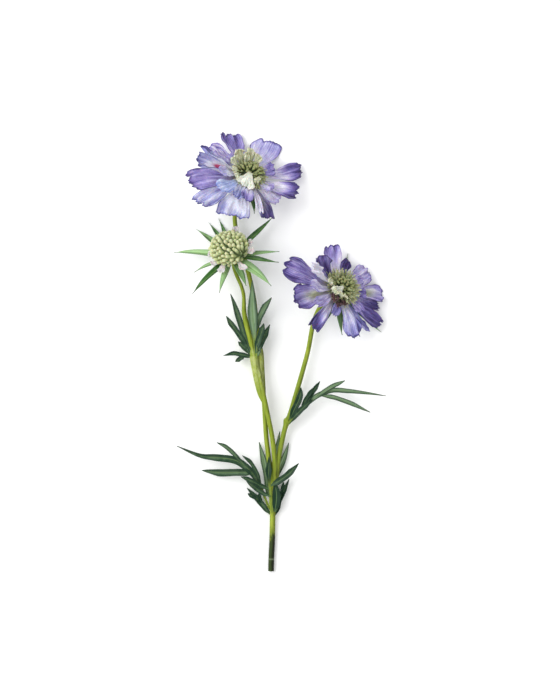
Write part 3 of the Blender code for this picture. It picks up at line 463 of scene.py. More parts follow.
class Sculpture:
    """A mesh that grows blade by blade and tube by tube. Each vertex carries what its material reads."""

    def __init__(self, *layers):
        self.bm = bmesh.new()
        self.layers = {name: self.bm.verts.layers.float.new(name) for name in layers}

    def blade(self, grid, place, **fixed):
        """A grid that place(s, t) puts in space: s from -1 to 1 across it, t from 0 to 1 along it."""
        made = bmesh.ops.create_grid(self.bm, x_segments=grid[0], y_segments=grid[1], size=1.0)
        for vert in made["verts"]:
            vert.co, values = place(vert.co.x, (vert.co.y + 1) / 2)
            self.mark([vert], **fixed, **values)

    def tube(self, stations, sides, ribs=0, side=Vector((0, 0, 1)), **fixed):
        """A round closed tube through stations of (centre, radius), with its ribs along it."""
        bm = self.bm
        centres = [centre for centre, _ in stations]
        frames = []
        for i, (centre, radius) in enumerate(stations):
            along = (centres[min(i + 1, len(centres) - 1)] - centres[max(i - 1, 0)]).normalized()
            turn = axes_from(along, side)
            side = turn.col[0].copy()
            frames.append(Matrix.Translation(centre) @ turn.to_4x4() @ Matrix.Scale(radius, 4))
        verts = bmesh.ops.create_circle(bm, cap_ends=True, segments=sides, radius=1.0)["verts"]
        cap = list({face for vert in verts for face in vert.link_faces})
        for vert in verts:
            vert.co *= 1 + 0.05 * math.cos(ribs * math.atan2(vert.co.y, vert.co.x)) * (ribs > 0)
        bmesh.ops.transform(bm, matrix=frames[0], verts=verts)
        made = list(verts)
        for before, after in zip(frames, frames[1:]):
            rim = [edge for face in cap for edge in face.edges]
            grown = bmesh.ops.extrude_face_region(bm, geom=cap + rim)["geom"]
            verts = [g for g in grown if isinstance(g, bmesh.types.BMVert)]
            cap = [g for g in grown if isinstance(g, bmesh.types.BMFace)]
            bmesh.ops.transform(bm, matrix=after @ before.inverted(), verts=verts)
            made += verts
        self.mark(made, **fixed)
        bmesh.ops.recalc_face_normals(bm, faces=list({face for vert in made for face in vert.link_faces}))

    def mark(self, verts, **values):
        for name, value in values.items():
            for vert in verts:
                vert[self.layers[name]] = value

    def copies(self, template, places, **fixed):
        """A copy of the template mesh at every matrix. The values are lists, one for each copy."""
        for i, place in enumerate(places):
            before = len(self.bm.verts)
            self.bm.from_mesh(template)
            self.bm.verts.ensure_lookup_table()
            verts = self.bm.verts[before:]
            bmesh.ops.transform(self.bm, matrix=place, verts=verts)
            self.mark(verts, **{name: values[i] for name, values in fixed.items()})

    def mesh(self, name):
        mesh = bpy.data.meshes.new(name)
        self.bm.to_mesh(mesh)
        self.bm.free()
        return mesh

    def piece(self, name, materials, thickness=0.0):
        """The finished piece in the frame. A blade's second material is the one on its back."""
        bmesh.ops.translate(self.bm, vec=CUT_END, verts=self.bm.verts)
        bmesh.ops.scale(self.bm, vec=(MM, MM, MM), verts=self.bm.verts)
        made = bpy.data.objects.new(name, self.mesh(name))
        bpy.context.scene.collection.objects.link(made)
        for material in materials:
            made.data.materials.append(material)
        made.data.shade_smooth()
        if thickness:
            solid = made.modifiers.new("thickness", "SOLIDIFY")
            solid.thickness = thickness * MM
            solid.offset = 0.0
            solid.material_offset = len(materials) - 1
        return made


def petal(sculpture, line, piece, look, number, grid, lobes=3, frill=1.0, round_tip=0.14):
    """A fan-shaped petal: narrow at its foot, pleated, with a lobed, scalloped and ruffled rim."""
    rng = random.Random(SEED * 100 + number)
    phase, wave = rng.uniform(0, TAU), rng.uniform(0, TAU)
    fine, ruffle, side_wave, lobed = (rng.uniform(0, TAU) for _ in range(4))
    teeth = rng.uniform(13.0, 17.0)
    curled = rng.uniform(-0.5, 1.0)
    pleat = min(0.9, 0.045 * piece.width)

    def place(x, t):
        s = -x  # mirrored, so that its face looks up
        wide = abs(s)
        cut = 1 - abs(math.sin(teeth * s + fine)) ** 0.6
        ragged = noise.noise((4 * s, number * 3.1, 0.5))
        corner = rounded * (1 - math.sqrt(1 - 0.97 * wide**3))
        longer = piece.skew * s - 0.03 - corner + 0.02 * math.cos(lobes * math.pi * s + 0.25 * lobed)
        longer += frill * (0.04 * ragged - 0.03 * cut) * t**8
        share = t * (1 + longer * t)
        opened = 0.27 + 0.73 * smoothstep((share - 0.06) / 0.78)
        half = piece.width / 2 * opened * (1 - 0.08 * smoothstep(share * 4 - 3))
        half *= 1 + 0.08 * frill * noise.noise((4 * t, number * 1.7, 2.0 + (s > 0)))
        crease = math.cos(2.5 * math.pi * s + phase)
        lift = piece.cup * half * s * s + pleat * share**1.5 * crease
        lift += 0.035 * line.length * share * math.sin(6.5 * share + wave)
        folds = math.cos(7.0 * math.pi * s + fine) + 0.6 * math.cos(11.0 * math.pi * s + ruffle)
        lift += frill * 0.10 * pleat * folds * smoothstep(share / 0.5)
        outer = smoothstep((t - 0.5) / 0.5) ** 1.5
        billow = math.sin(3.3 * math.pi * s + ruffle) + 0.5 * math.sin(5.7 * math.pi * s + side_wave)
        lift += frill * 0.055 * piece.width * billow * outer
        lift += frill * 0.6 * wide**4 * math.sin(9.0 * t + side_wave + 2 * s) * smoothstep(t / 0.4)
        crumple = 1.9 * noise.noise((1.8 * s + number * 5, 3.0 * t, 1.0))
        crumple += 1.0 * noise.noise((4.4 * s, 6.5 * t, number * 2.3))
        lift += frill * crumple * smoothstep((t - 0.15) / 0.4)
        lift += frill * curled * 1.8 * smoothstep((t - 0.8) / 0.2) ** 2
        over = look.roll * smoothstep((s * s - 0.45) / 0.5) * smoothstep(t / 0.5)
        point, side, normal = line.at(share, piece.twist)
        spot = point + side * (s * half * (1 - 0.34 * over)) + normal * (lift + 0.55 * half * over)
        spot.z = rested(spot.z)
        change = smoothstep((t - 0.5 + 0.08 * math.cos(3 * s + phase)) / 0.42)
        tone = look.middle + (look.tip - look.middle) * change
        # Painted shade and highlight: the tone is lighter where pleats, folds, billows and crumples lift the
        # petal, and darker in their hollows.
        tone -= 0.04 * (crease + 0.5 * folds + 1.2 * billow * outer) + 0.07 * crumple
        sides = smoothstep((wide - 0.93) / 0.07) * smoothstep(t * 2 - 0.6)
        tone += 0.9 * (look.rim * max(smoothstep((t - 0.95) / 0.05), sides))
        return spot, {
            "across": s, "along": t, "tone": tone, "claw_and_shade": 1 - smoothstep((t - 0.06) / 0.32),
            "blush": look.blush * math.exp(-(((s + 0.1) / 0.32) ** 2) - ((t - 0.48) / 0.09) ** 2),
            "heart": look.heart * math.exp(-((s / 0.5) ** 2) - ((t - 0.48) / 0.25) ** 2),
        }

    frill *= look.ruffle
    rounded = round_tip if look.corner is None else look.corner
    sculpture.blade(grid, place, blue=look.blue, streak=look.streak, number=number * 3.7)


def bract(sculpture, head, piece, root, number):
    """A narrow green bract, folded along its rib and drawn out to a point."""
    line = Radial(head, piece, root)
    rng = random.Random(SEED * 500 + number)
    sway, bend = rng.uniform(-1.6, 1.6), rng.uniform(0, TAU)

    def place(x, t):
        s = -x  # mirrored, so that its face looks up
        half = max(piece.width / 2 * (1 - abs(2 * t**0.8 - 0.9) ** 2.2), 0.1 + 0.6 * (1 - t))
        point, side, normal = line.at(t)
        fold = 0.62 * half * abs(s) ** 1.2 + 0.15 * math.sin(7 * t + bend) * s * half
        spot = point + side * (s * half + sway * math.sin(3 * t) * t) + normal * fold
        spot.z = max(spot.z, REST_HEIGHT + 0.4)
        return spot, {"across": s, "along": t}

    sculpture.blade(BRACT_GRID, place, pale=piece.pale, number=number * 2.3)


def leaf_lobe(sculpture, lobe, number, stalk):
    """A lance-shaped lobe along a line, folded along its rib. Its first share, the stalk, is narrow."""
    line = smooth_line(lobe.points, LEAF_STEPS)
    steps = 7 * (len(lobe.points) - 1) + 5
    rng = random.Random(SEED * 900 + number)
    sway = rng.uniform(0, TAU)

    def place(s, t):
        full = smoothstep((t - stalk) / 0.3)
        half = lobe.width / 2 * min(0.3 + 0.7 * full, 2.9 * max(1 - t, 0.0) ** 0.8)
        half = max(half, 0.12) * (1 + 0.05 * math.sin(17 * t + sway + s))
        point, along = point_on(line, t)
        side = Vector((along.y, -along.x, 0)).normalized()
        fold = lobe.fold * half * abs(s) ** 1.3 - 0.2 * math.exp(-((s / 0.16) ** 2))
        fold += 0.22 * math.sin(11 * t + sway) * s * abs(s) * half / 2
        spot = point + side * (s * half) + Vector((0, 0, fold))
        spot.z = max(spot.z, REST_HEIGHT + 0.2)
        bare = (1 - smoothstep((t - stalk) / 0.15)) * (stalk > 0.12)
        return spot, {"across": s, "along": t, "stalk": 0.9 * bare}

    sculpture.blade((LEAF_ACROSS, steps), place, pale=lobe.pale, number=number * 1.9)


def turned(sculpture, head, profile, sides, **fixed):
    """A round body on a head's axis, from a profile of (height, radius)."""
    axes = head_axes(head)
    stations = [(Vector(head.centre) + axes.col[2] * height, radius) for height, radius in profile]
    sculpture.tube(stations, sides, side=axes.col[0].copy(), **fixed)


def floret_template(profile, sides, lobes, depth, bend):
    """One floret of height 1 along +z, lobed towards its top and dimpled there."""
    sculpture = Sculpture("along", "cream")
    stations = [(Vector((0, 0, height)), radius) for height, radius in profile]
    sculpture.tube(stations, sides, side=Vector((1, 0, 0)))
    bm = sculpture.bm
    top = max(bm.faces, key=lambda face: face.calc_center_median().z)
    for inset, push in ((0.18, 0.0), (0.12, -depth)):
        bmesh.ops.inset_region(bm, faces=[top], thickness=inset, depth=0.0)
        bmesh.ops.translate(bm, vec=(0, 0, push), verts=top.verts)
    for vert in bm.verts:
        angle = math.atan2(vert.co.y, vert.co.x)
        swell = 1 + 0.24 * smoothstep((vert.co.z - 0.55) / 0.4) * math.cos(lobes * angle)
        vert[sculpture.layers["along"]] = vert.co.z
        vert.co.x *= swell
        vert.co.y *= swell
        vert.co.x += bend * vert.co.z**2
    return sculpture.mesh("floret")


def golden_directions(count, widest):
    """Directions spread evenly over a cap round +z, out to widest degrees from it."""
    low = math.cos(math.radians(widest))
    for i in range(count):
        up = 1 - (1 - low) * (i + 0.5) / count
        turn = i * math.pi * (3 - math.sqrt(5))
        flat = math.sqrt(1 - up * up)
        yield Vector((flat * math.cos(turn), flat * math.sin(turn), up))


def standing(head, foot, direction, radius, length, turn):
    """The matrix that stands a template on foot, along direction, both in the head's own frame."""
    axes = head_axes(head)
    towards = (axes @ direction).normalized()
    outwards = axes @ Vector((direction.x, direction.y, 0))
    if outwards.length < 0.05:
        outwards = axes.col[0].copy()
    upright = axes_from(towards, outwards).to_4x4()
    size = Matrix.Diagonal((radius, radius, length, 1))
    at = Matrix.Translation(Vector(head.centre) + axes @ foot)
    return at @ upright @ Matrix.Rotation(turn, 4, "Z") @ size


# Materials


class Finish:
    """A material with a Principled shader, built node by node."""

    def __init__(self, name, **sockets):
        self.material = bpy.data.materials.new(name)
        self.material.use_nodes = True
        self.tree = self.material.node_tree
        self.shader = self.tree.nodes["Principled BSDF"]
        for socket, value in sockets.items():
            self.shader.inputs[socket.replace("_", " ")].default_value = value

    def node(self, kind, inputs, output=0, **settings):
        """Adds a node, links or sets its inputs, and returns its output socket."""
        made = self.tree.nodes.new("ShaderNode" + kind)
        for key, value in settings.items():
            setattr(made, key, value)
        for socket, value in inputs.items():
            if isinstance(value, bpy.types.NodeSocket):
                self.tree.links.new(value, made.inputs[socket])
            else:
                made.inputs[socket].default_value = value
        return made.outputs[output]

    def attribute(self, name):
        return self.node("Attribute", {}, "Fac", attribute_name=name)

    def math(self, operation, a, b=0.0, c=0.0):
        return self.node("Math", {0: a, 1: b, 2: c}, operation=operation)

    def vector(self, x, y, z):
        return self.node("CombineXYZ", {0: x, 1: y, 2: z})

    def stretched(self, x, y, z):
        """The object's own coordinates, in millimetres and multiplied by x, y and z."""
        places = self.node("TexCoord", {}, "Object")
        return self.node("Mapping", {"Vector": places, "Scale": (x / MM, y / MM, z / MM)})

    def times(self, a, b):
        return self.math("MULTIPLY", a, b)

    def noise(self, vector, detail, roughness):
        inputs = {"Vector": vector, "Scale": 1.0, "Detail": detail, "Roughness": roughness}
        return self.node("TexNoise", inputs, "Fac")

    def patches(self, x, y, z, detail, roughness):
        return self.noise(self.stretched(x, y, z), detail, roughness)

    def threads(self, across, along, detail, roughness):
        """Noise in lines along a blade, closer with higher values, and different for each blade."""
        wide = self.times(self.attribute("across"), across)
        far = self.times(self.attribute("along"), along)
        return self.noise(self.vector(wide, far, self.attribute("number")), detail, roughness)

    def spread(self, value, low, high, to_low=0.0, to_high=1.0):
        """The value from low to high, stretched to the other range and clamped."""
        return self.node("MapRange", {0: value, 1: low, 2: high, 3: to_low, 4: to_high})

    def mix(self, factor, a, b, blend="MIX"):
        inputs = {0: factor, 6: a, 7: b}
        inputs = {key: (*value, 1) if isinstance(value, tuple) else value for key, value in inputs.items()}
        return self.node("Mix", inputs, 2, data_type="RGBA", blend_type=blend)

    def washed(self, colour, *washes):
        """The colour with washes of (share, colour) over it, one after the other."""
        for share, wash in washes:
            colour = self.mix(share, colour, wash)
        return colour

    def ramp(self, factor, stops):
        """The colour at factor, between stops of (position, colour)."""
        socket = self.node("ValToRGB", {0: factor})
        ramp = socket.node.color_ramp
        while len(ramp.elements) < len(stops):
            ramp.elements.new(1.0)
        for element, (position, colour) in zip(ramp.elements, stops):
            element.position = position
            element.color = (*colour, 1)
        return socket

    def done(self, colour, height, strength, depth):
        """The material with this colour, and a bump from this height."""
        bump = self.node("Bump", {"Height": height, "Strength": strength, "Distance": depth})
        self.tree.links.new(colour, self.shader.inputs["Base Color"])
        self.tree.links.new(bump, self.shader.inputs["Normal"])
        return self.material


VIOLET_STEPS = [
    (0, (0.72, 0.70, 0.80)), (0.25, (0.46, 0.42, 0.67)), (0.5, (0.27, 0.23, 0.52)),
    (0.75, (0.13, 0.10, 0.34)), (1, (0.045, 0.030, 0.15)),
]
BLUE_STEPS = [
    (0, (0.66, 0.71, 0.82)), (0.25, (0.41, 0.48, 0.75)), (0.5, (0.21, 0.27, 0.60)),
    (0.75, (0.10, 0.13, 0.38)), (1, (0.035, 0.04, 0.18)),
]
PIN_STEPS = [
    (0, (0.014, 0.024, 0.005)), (0.45, (0.07, 0.10, 0.022)), (0.8, (0.19, 0.23, 0.075)),
    (1, (0.33, 0.37, 0.16)),
]
BUD_STEPS = [
    (0, (0.035, 0.06, 0.010)), (0.45, (0.20, 0.26, 0.07)), (0.8, (0.39, 0.46, 0.18)),
    (1, (0.53, 0.57, 0.30)),
]
GREEN_STEPS = [(0.25, (0.12, 0.18, 0.012)), (0.5, (0.24, 0.31, 0.025)), (0.75, (0.39, 0.43, 0.06))]


def petal_finish(name, paler):
    """Petal skin: paler, grey-green and partly painted shade at its foot, streaked along its length, deeper
    towards its rim.
    """
    finish = Finish(name, Roughness=0.62, Sheen_Weight=0.25, Sheen_Roughness=0.5, Subsurface_Weight=0.12,
                    Subsurface_Scale=0.002, Specular_IOR_Level=0.3)
    threads = finish.threads(17.0, 1.7, 5.0, 0.62)
    size = finish.math("MULTIPLY_ADD", finish.attribute("streak"), 0.16, 0.10)
    swing = finish.spread(threads, 0.36, 0.64, -1.0, 1.0)
    tone = finish.math("MULTIPLY_ADD", swing, size, finish.attribute("tone"))
    blotches = finish.spread(finish.patches(0.16, 0.16, 0.16, 4.0, 0.6), 0.3, 0.7, -0.12, 0.12)
    tone = finish.times(finish.math("ADD", tone, blotches), 1 - paler)
    colour = finish.washed(
        finish.ramp(tone, VIOLET_STEPS),
        (finish.attribute("blue"), finish.ramp(tone, BLUE_STEPS)),
        # Partly painted shade: the grey-green at each petal's foot is its own colour and also stands in for
        # the shade where the petals meet the disc.
        (finish.times(finish.attribute("claw_and_shade"), 0.8), (0.30, 0.31, 0.27)),
        (finish.times(finish.attribute("heart"), 0.9), (0.33, 0.36, 0.20)),
        (finish.attribute("blush"), (0.40, 0.05, 0.13)),
    )
    grain = finish.spread(finish.patches(1.3, 1.3, 1.3, 3.0, 0.7), 0.3, 0.7, 0.80, 1.16)
    colour = finish.mix(1.0, colour, finish.vector(grain, grain, grain), "MULTIPLY")
    return finish.done(colour, threads, 0.55, 0.0005)


def floret_finish(name, steps, warm):
    """Florets that grow paler from foot to tip, and lean to the warm colour by their cream value."""
    finish = Finish(name, Roughness=0.6, Subsurface_Weight=0.15, Subsurface_Scale=0.0015,
                    Specular_IOR_Level=0.35)
    patches = finish.spread(finish.patches(0.5, 0.5, 0.5, 4.0, 0.6), 0.3, 0.7, -0.16, 0.16)
    along = finish.math("ADD", finish.attribute("along"), patches)
    colour = finish.mix(finish.times(finish.attribute("cream"), along), finish.ramp(along, steps), warm)
    return finish.done(colour, finish.patches(1.6, 1.6, 1.6, 3.0, 0.5), 0.35, 0.0003)


def frill_finish(name, body, edge, root):
    """The small ruffled florets: a pale body with brighter fold lines and a green root."""
    finish = Finish(name, Roughness=0.6, Sheen_Weight=0.2, Subsurface_Weight=0.15, Subsurface_Scale=0.0015,
                    Specular_IOR_Level=0.3)
    threads = finish.threads(9.0, 1.4, 4.0, 0.6)
    at_root = finish.spread(finish.attribute("along"), 0.45, 0.0)
    colour = finish.washed(body, (finish.spread(threads, 0.4, 0.62), edge), (at_root, root))
    return finish.done(colour, threads, 0.5, 0.0004)


def leaf_finish(name, dark, pale, rib, under=0.0, margin=0.7):
    """Leaf skin with a paler midrib, faint side veins, darker tips, and painted shade on one half of each
    lobe.

    under is how much paler it is all over, and margin how dark its edges are.
    """
    finish = Finish(name, Roughness=0.5, Specular_IOR_Level=0.22, Subsurface_Weight=0.05,
                    Subsurface_Scale=0.001)
    across, along = finish.attribute("across"), finish.attribute("along")
    middle = finish.math("ABSOLUTE", across)
    patches = finish.patches(0.22, 0.22, 0.22, 5.0, 0.6)
    mottle = finish.spread(patches, 0.3, 0.7, -0.18 + under, 0.18 + under)
    colour = finish.mix(finish.math("ADD", finish.attribute("pale"), mottle), dark, pale)
    # Painted shade: one half of each lobe, beside its rib, is darkened as if turned away from the light.
    shaded = finish.mix(0.5, colour, (0.008, 0.024, 0.012))
    colour = finish.washed(
        colour,
        (finish.spread(across, -0.1, 0.1), shaded),
        (finish.times(finish.spread(middle, 0.7, 0.35, 0.0, 0.6), finish.attribute("pale")), pale),
        (finish.spread(middle, 0.45, 0.8, 0.0, margin), dark),
        (finish.spread(middle, 0.22, 0.06, 0.0, 0.75), rib),
        (finish.spread(along, 0.16, 0.0, 0.0, 0.75), rib),
        (finish.attribute("stalk"), (0.21, 0.28, 0.035)),
        (finish.spread(along, 0.9, 1.0, 0.0, 0.5), (0.03, 0.05, 0.025)),
    )
    slant = finish.math("SUBTRACT", finish.times(along, 30.0), finish.times(middle, 3.0))
    slanted = finish.vector(slant, finish.times(across, 2.0), finish.attribute("number"))
    veins = finish.noise(slanted, 2.0, 0.5)
    return finish.done(colour, finish.math("MULTIPLY_ADD", veins, 0.6, patches), 0.35, 0.0004)


def stem_finish():
    """Yellow-green stem with fine lines along it, brown flecks, and a dark end with one thin pale ring."""
    finish = Finish("stem_skin", Roughness=0.5, Specular_IOR_Level=0.16, Subsurface_Weight=0.06,
                    Subsurface_Scale=0.0015)
    lines = finish.patches(1.5, 0.05, 1.5, 4.0, 0.6)
    flecks = finish.patches(0.55, 0.2, 0.55, 5.0, 0.7)
    duller = finish.spread(finish.patches(0.02, 0.012, 0.02, 2.0, 0.5), 0.42, 0.6, 0.0, 0.55)
    mottle = finish.spread(finish.patches(0.5, 0.25, 0.5, 3.0, 0.7), 0.35, 0.6)
    sheath = finish.times(finish.times(finish.attribute("sheath"), mottle), 0.75)
    # away: how far the stem faces away from the light, made ragged by the flecks; it masks the painted shade
    # below.
    away = finish.math("ADD", finish.attribute("shade"), finish.spread(flecks, 0.3, 0.7, -0.15, 0.15))
    up = finish.node("SeparateXYZ", {0: finish.stretched(1, 1, 1)}, "Y")
    up = finish.math("SUBTRACT", up, CUT_END.y)
    ragged = finish.math("ADD", up, finish.spread(flecks, 0.3, 0.7, -5.0, 5.0))
    from_ring = finish.math("ABSOLUTE", finish.math("SUBTRACT", up, CUT_RING))
    # The dark end's own colour, with painted shade: near black on the side away from the light.
    dark_end_and_shade = finish.mix(finish.spread(away, 0.45, 0.7), (0.018, 0.036, 0.008), (0.002, 0.004, 0.0015))
    colour = finish.washed(
        finish.ramp(lines, GREEN_STEPS),
        (duller, (0.15, 0.22, 0.018)),
        (finish.spread(flecks, 0.665, 0.72, 0.0, 0.6), (0.09, 0.07, 0.015)),
        (sheath, (0.43, 0.48, 0.20)),
        # Painted shade: the side of the stem that faces away from the light is washed darker.
        (finish.spread(away, 0.6, 0.92, 0.0, 0.8), (0.075, 0.085, 0.012)),
        (finish.spread(ragged, DARK_END[1], DARK_END[0], 0.0, 0.96), dark_end_and_shade),
        (finish.spread(from_ring, 0.8, 0.3, 0.0, 0.6), (0.16, 0.21, 0.12)),
    )
    return finish.done(colour, lines, 0.4, 0.0004)


# Pieces


def finished(piece, slot, *nodes):
    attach(piece, "root")
    if nodes:
        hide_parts(*nodes)
    return piece


def joined_smoothly(core, others):
    """Joins the closed meshes into core by one Boolean union and removes them."""
    together = bpy.data.collections.new("branches")
    bpy.context.scene.collection.children.link(together)
    for other in others:
        bpy.context.scene.collection.objects.unlink(other)
        together.objects.link(other)
    union = core.modifiers.new("union", "BOOLEAN")
    union.operation = "UNION"
    union.operand_type = "COLLECTION"
    union.collection = together
    union.solver = "MANIFOLD"
    graph = bpy.context.evaluated_depsgraph_get()
    core.data = bpy.data.meshes.new_from_object(core.evaluated_get(graph))
    core.modifiers.clear()
    for other in others:
        bpy.data.objects.remove(other)
    bpy.data.collections.remove(together)
    core.data.shade_smooth()
    core.data.set_sharp_from_angle(angle=math.radians(60))
    return core


def mark_stem(skin):
    """Marks where the stem faces away from the light, and where it is the pale sheath."""
    low, high = SHEATH_BAND
    shade = skin.attributes.new("shade", "FLOAT", "POINT")
    sheath = skin.attributes.new("sheath", "FLOAT", "POINT")
    for dark, pale, vert in zip(shade.data, sheath.data, skin.vertices):
        dark.value = 0.5 + 0.5 * vert.normal.x
        x, y, _ = vert.co / MM - CUT_END
        fade_in, fade_out = smoothstep((y - low) / 18), smoothstep((high - y) / 4)
        pale.value = fade_in * fade_out * (x < 0)


def stem_piece():
    skin = stem_finish()
    tubes = []
    for name, points in (
        ("stem_skin", MAIN_STEM), ("top", TOP_BRANCH), ("young", YOUNG_BRANCH), ("right", RIGHT_BRANCH),
        ("left_sheath", LEFT_SHEATH), ("right_sheath", RIGHT_SHEATH),
    ):
        places = smooth_line([point[:3] for point in points], STEM_STEPS)
        widths = smooth_line([(point[3], 0, 0) for point in points], STEM_STEPS)
        stations = [(Vector((p.x, p.y, max(p.z, w.x))), w.x) for p, w in zip(places, widths)]
        sculpture = Sculpture()
        sculpture.tube(stations, STEM_SIDES, ribs=STEM_RIBS)
        tubes.append(sculpture.piece(name, [skin]))
    stem = joined_smoothly(tubes[0], tubes[1:])
    mark_stem(stem.data)
    finished(stem, "stem_green", "stem")


def tier_root(root, step, tier):
    """The root of a petal of this tier."""
    return root[0] + step[0] * tier, root[1] + step[1] * tier


def petals_piece(bloom, materials):
    sculpture = Sculpture(*PETAL_LAYERS)
    for number, (piece, look) in enumerate(bloom.petals, start=FIRST_RAY):
        line = Radial(bloom.head, piece, tier_root(RAY_ROOT, RAY_STEP, piece.tier))
        petal(sculpture, line, piece, look, number, PETAL_GRID, round_tip=bloom.round_tip)
    for number, (piece, look) in enumerate(bloom.small, start=FIRST_SMALL):
        petal(sculpture, Radial(bloom.head, piece, SMALL_ROOT), piece, look, number, SMALL_GRID, frill=0.8)
    made = sculpture.piece(f"{bloom.side}_petals", materials, PETAL_THICK)
    finished(made, "lilac_petal", f"{bloom.side}_head_petals")


def bracts_pieces(name, head, bracts, root, cup, node, materials):
    """The bracts, and the green cup that they grow from."""
    blades = Sculpture("across", "along", "pale", "number")
    for number, piece in enumerate(bracts):
        bract(blades, head, piece, root, number)
    finished(blades.piece(name + "_blades", materials, LEAF_THICK), "bract_green", node)
    body = Sculpture("across", "along", "pale", "number")
    turned(body, head, cup, sides=28, across=0.6, along=0.5, pale=0.35)
    finished(body.piece(name + "_cup", materials[:1]), "bract_green")


def pins_piece(bloom, material):
    """The pincushion: curly pins that stand out of a green dome, and long hairs."""
    name, head = f"{bloom.side}_disc", bloom.head
    low_bare, high_bare = bloom.bare
    rng = random.Random(SEED + len(name))
    pins = Sculpture("along", "cream")
    turned(pins, head, DISC_DOME, sides=24)
    directions = list(golden_directions(PIN_COUNT, PIN_SPREAD))
    for kind, bend in enumerate(PIN_BENDS):
        places, creams = [], []
        for i, direction in enumerate(directions):
            out = i / PIN_COUNT
            heading = math.degrees(math.atan2(direction.y, direction.x)) % 360
            if i % len(PIN_BENDS) != kind or (low_bare < heading < high_bare and 0.15 < out < 0.8):
                continue
            foot = direction * PIN_FOOT + DISC_CORE
            length = PIN_LENGTH + PIN_LONGER * out + rng.uniform(-0.8, 0.8)
            places.append(standing(head, foot, direction, PIN_RADIUS, length, rng.uniform(-1.3, 1.3)))
            creams.append(rng.uniform(0.0, 0.3 + 0.5 * out) ** 1.6)
        pins.copies(floret_template(PIN, sides=8, lobes=4, depth=0.10, bend=bend), places, cream=creams)
    places, creams = [], []
    for low, high, count in bloom.hairs:
        for _ in range(count):
            heading, rise = math.radians(rng.uniform(low, high)), math.radians(rng.uniform(*HAIR_RISES))
            flat = math.cos(rise)
            direction = Vector((math.cos(heading) * flat, math.sin(heading) * flat, math.sin(rise)))
            foot = direction * HAIR_FOOT + DISC_CORE
            length, turn = rng.uniform(*HAIR_LENGTHS), rng.uniform(-1.0, 1.0)
            places.append(standing(head, foot, direction, HAIR_RADIUS, length, turn))
            creams.append(rng.uniform(0.0, 0.8))
    pins.copies(floret_template(HAIR, sides=6, lobes=3, depth=0.02, bend=5.0), places, cream=creams)
    finished(pins.piece(f"{name}_pins", [material]), "cream_floret", f"{bloom.side}_head_disc")


def florets_piece(name, head, florets, root, first, material, lobes, frill, solved=False):
    """Small ruffled florets. Each is as long as its reach or, if solved, has its tip that far out."""
    sculpture = Sculpture(*PETAL_LAYERS)
    for number, piece in enumerate(florets, start=first):
        length = None if solved else piece.reach
        line = Radial(head, piece, tier_root(root, INNER_STEP, piece.tier), length)
        petal(sculpture, line, piece, PLAIN, number, INNER_GRID, lobes, frill)
    finished(sculpture.piece(name, [material] * 2, PETAL_THICK), "cream_floret")


def buds_piece(material):
    """The young head's closed florets, close together on a round cushion."""
    rng = random.Random(SEED + BUD_SEED)
    wide, high, middle = BUD_BALL
    buds = Sculpture("along", "cream")
    turned(buds, YOUNG_HEAD, YOUNG_CUSHION, sides=32)
    places, creams = [], []
    for direction in golden_directions(BUD_COUNT, BUD_SPREAD):
        on_ball = Vector((direction.x * wide, direction.y * wide, middle + direction.z * high))
        strewn = Vector((rng.uniform(-0.16, 0.16), rng.uniform(-0.16, 0.16), 0))
        outwards = Vector((direction.x, direction.y, direction.z * 1.5)) + BUD_LEAN + strewn
        outwards.normalize()
        length = BUD_LENGTH + rng.uniform(-0.6, 0.8)
        radius, turn = rng.uniform(*BUD_RADII), rng.uniform(0, TAU)
        places.append(standing(YOUNG_HEAD, on_ball - outwards, outwards, radius, length, turn))
        creams.append(rng.uniform(0.1, 0.8))
    buds.copies(floret_template(BUD, sides=8, lobes=4, depth=0.09, bend=0.0), places, cream=creams)
    finished(buds.piece("young_buds", [material]), "cream_floret", "young_head_florets")


def leaf_pieces(faces):
    number = 0
    for name, (stalk, lobes) in LEAVES.items():
        sculpture = Sculpture("across", "along", "pale", "number", "stalk")
        for i, lobe in enumerate(lobes):
            leaf_lobe(sculpture, lobe, number, 0.0 if i else stalk)
            number += 1
        slot = "pale_leaf" if name == "leaf_fork_back" else "leaf_green"
        finished(sculpture.piece(name.replace("leaf", "foliage"), faces, LEAF_THICK), slot, name)


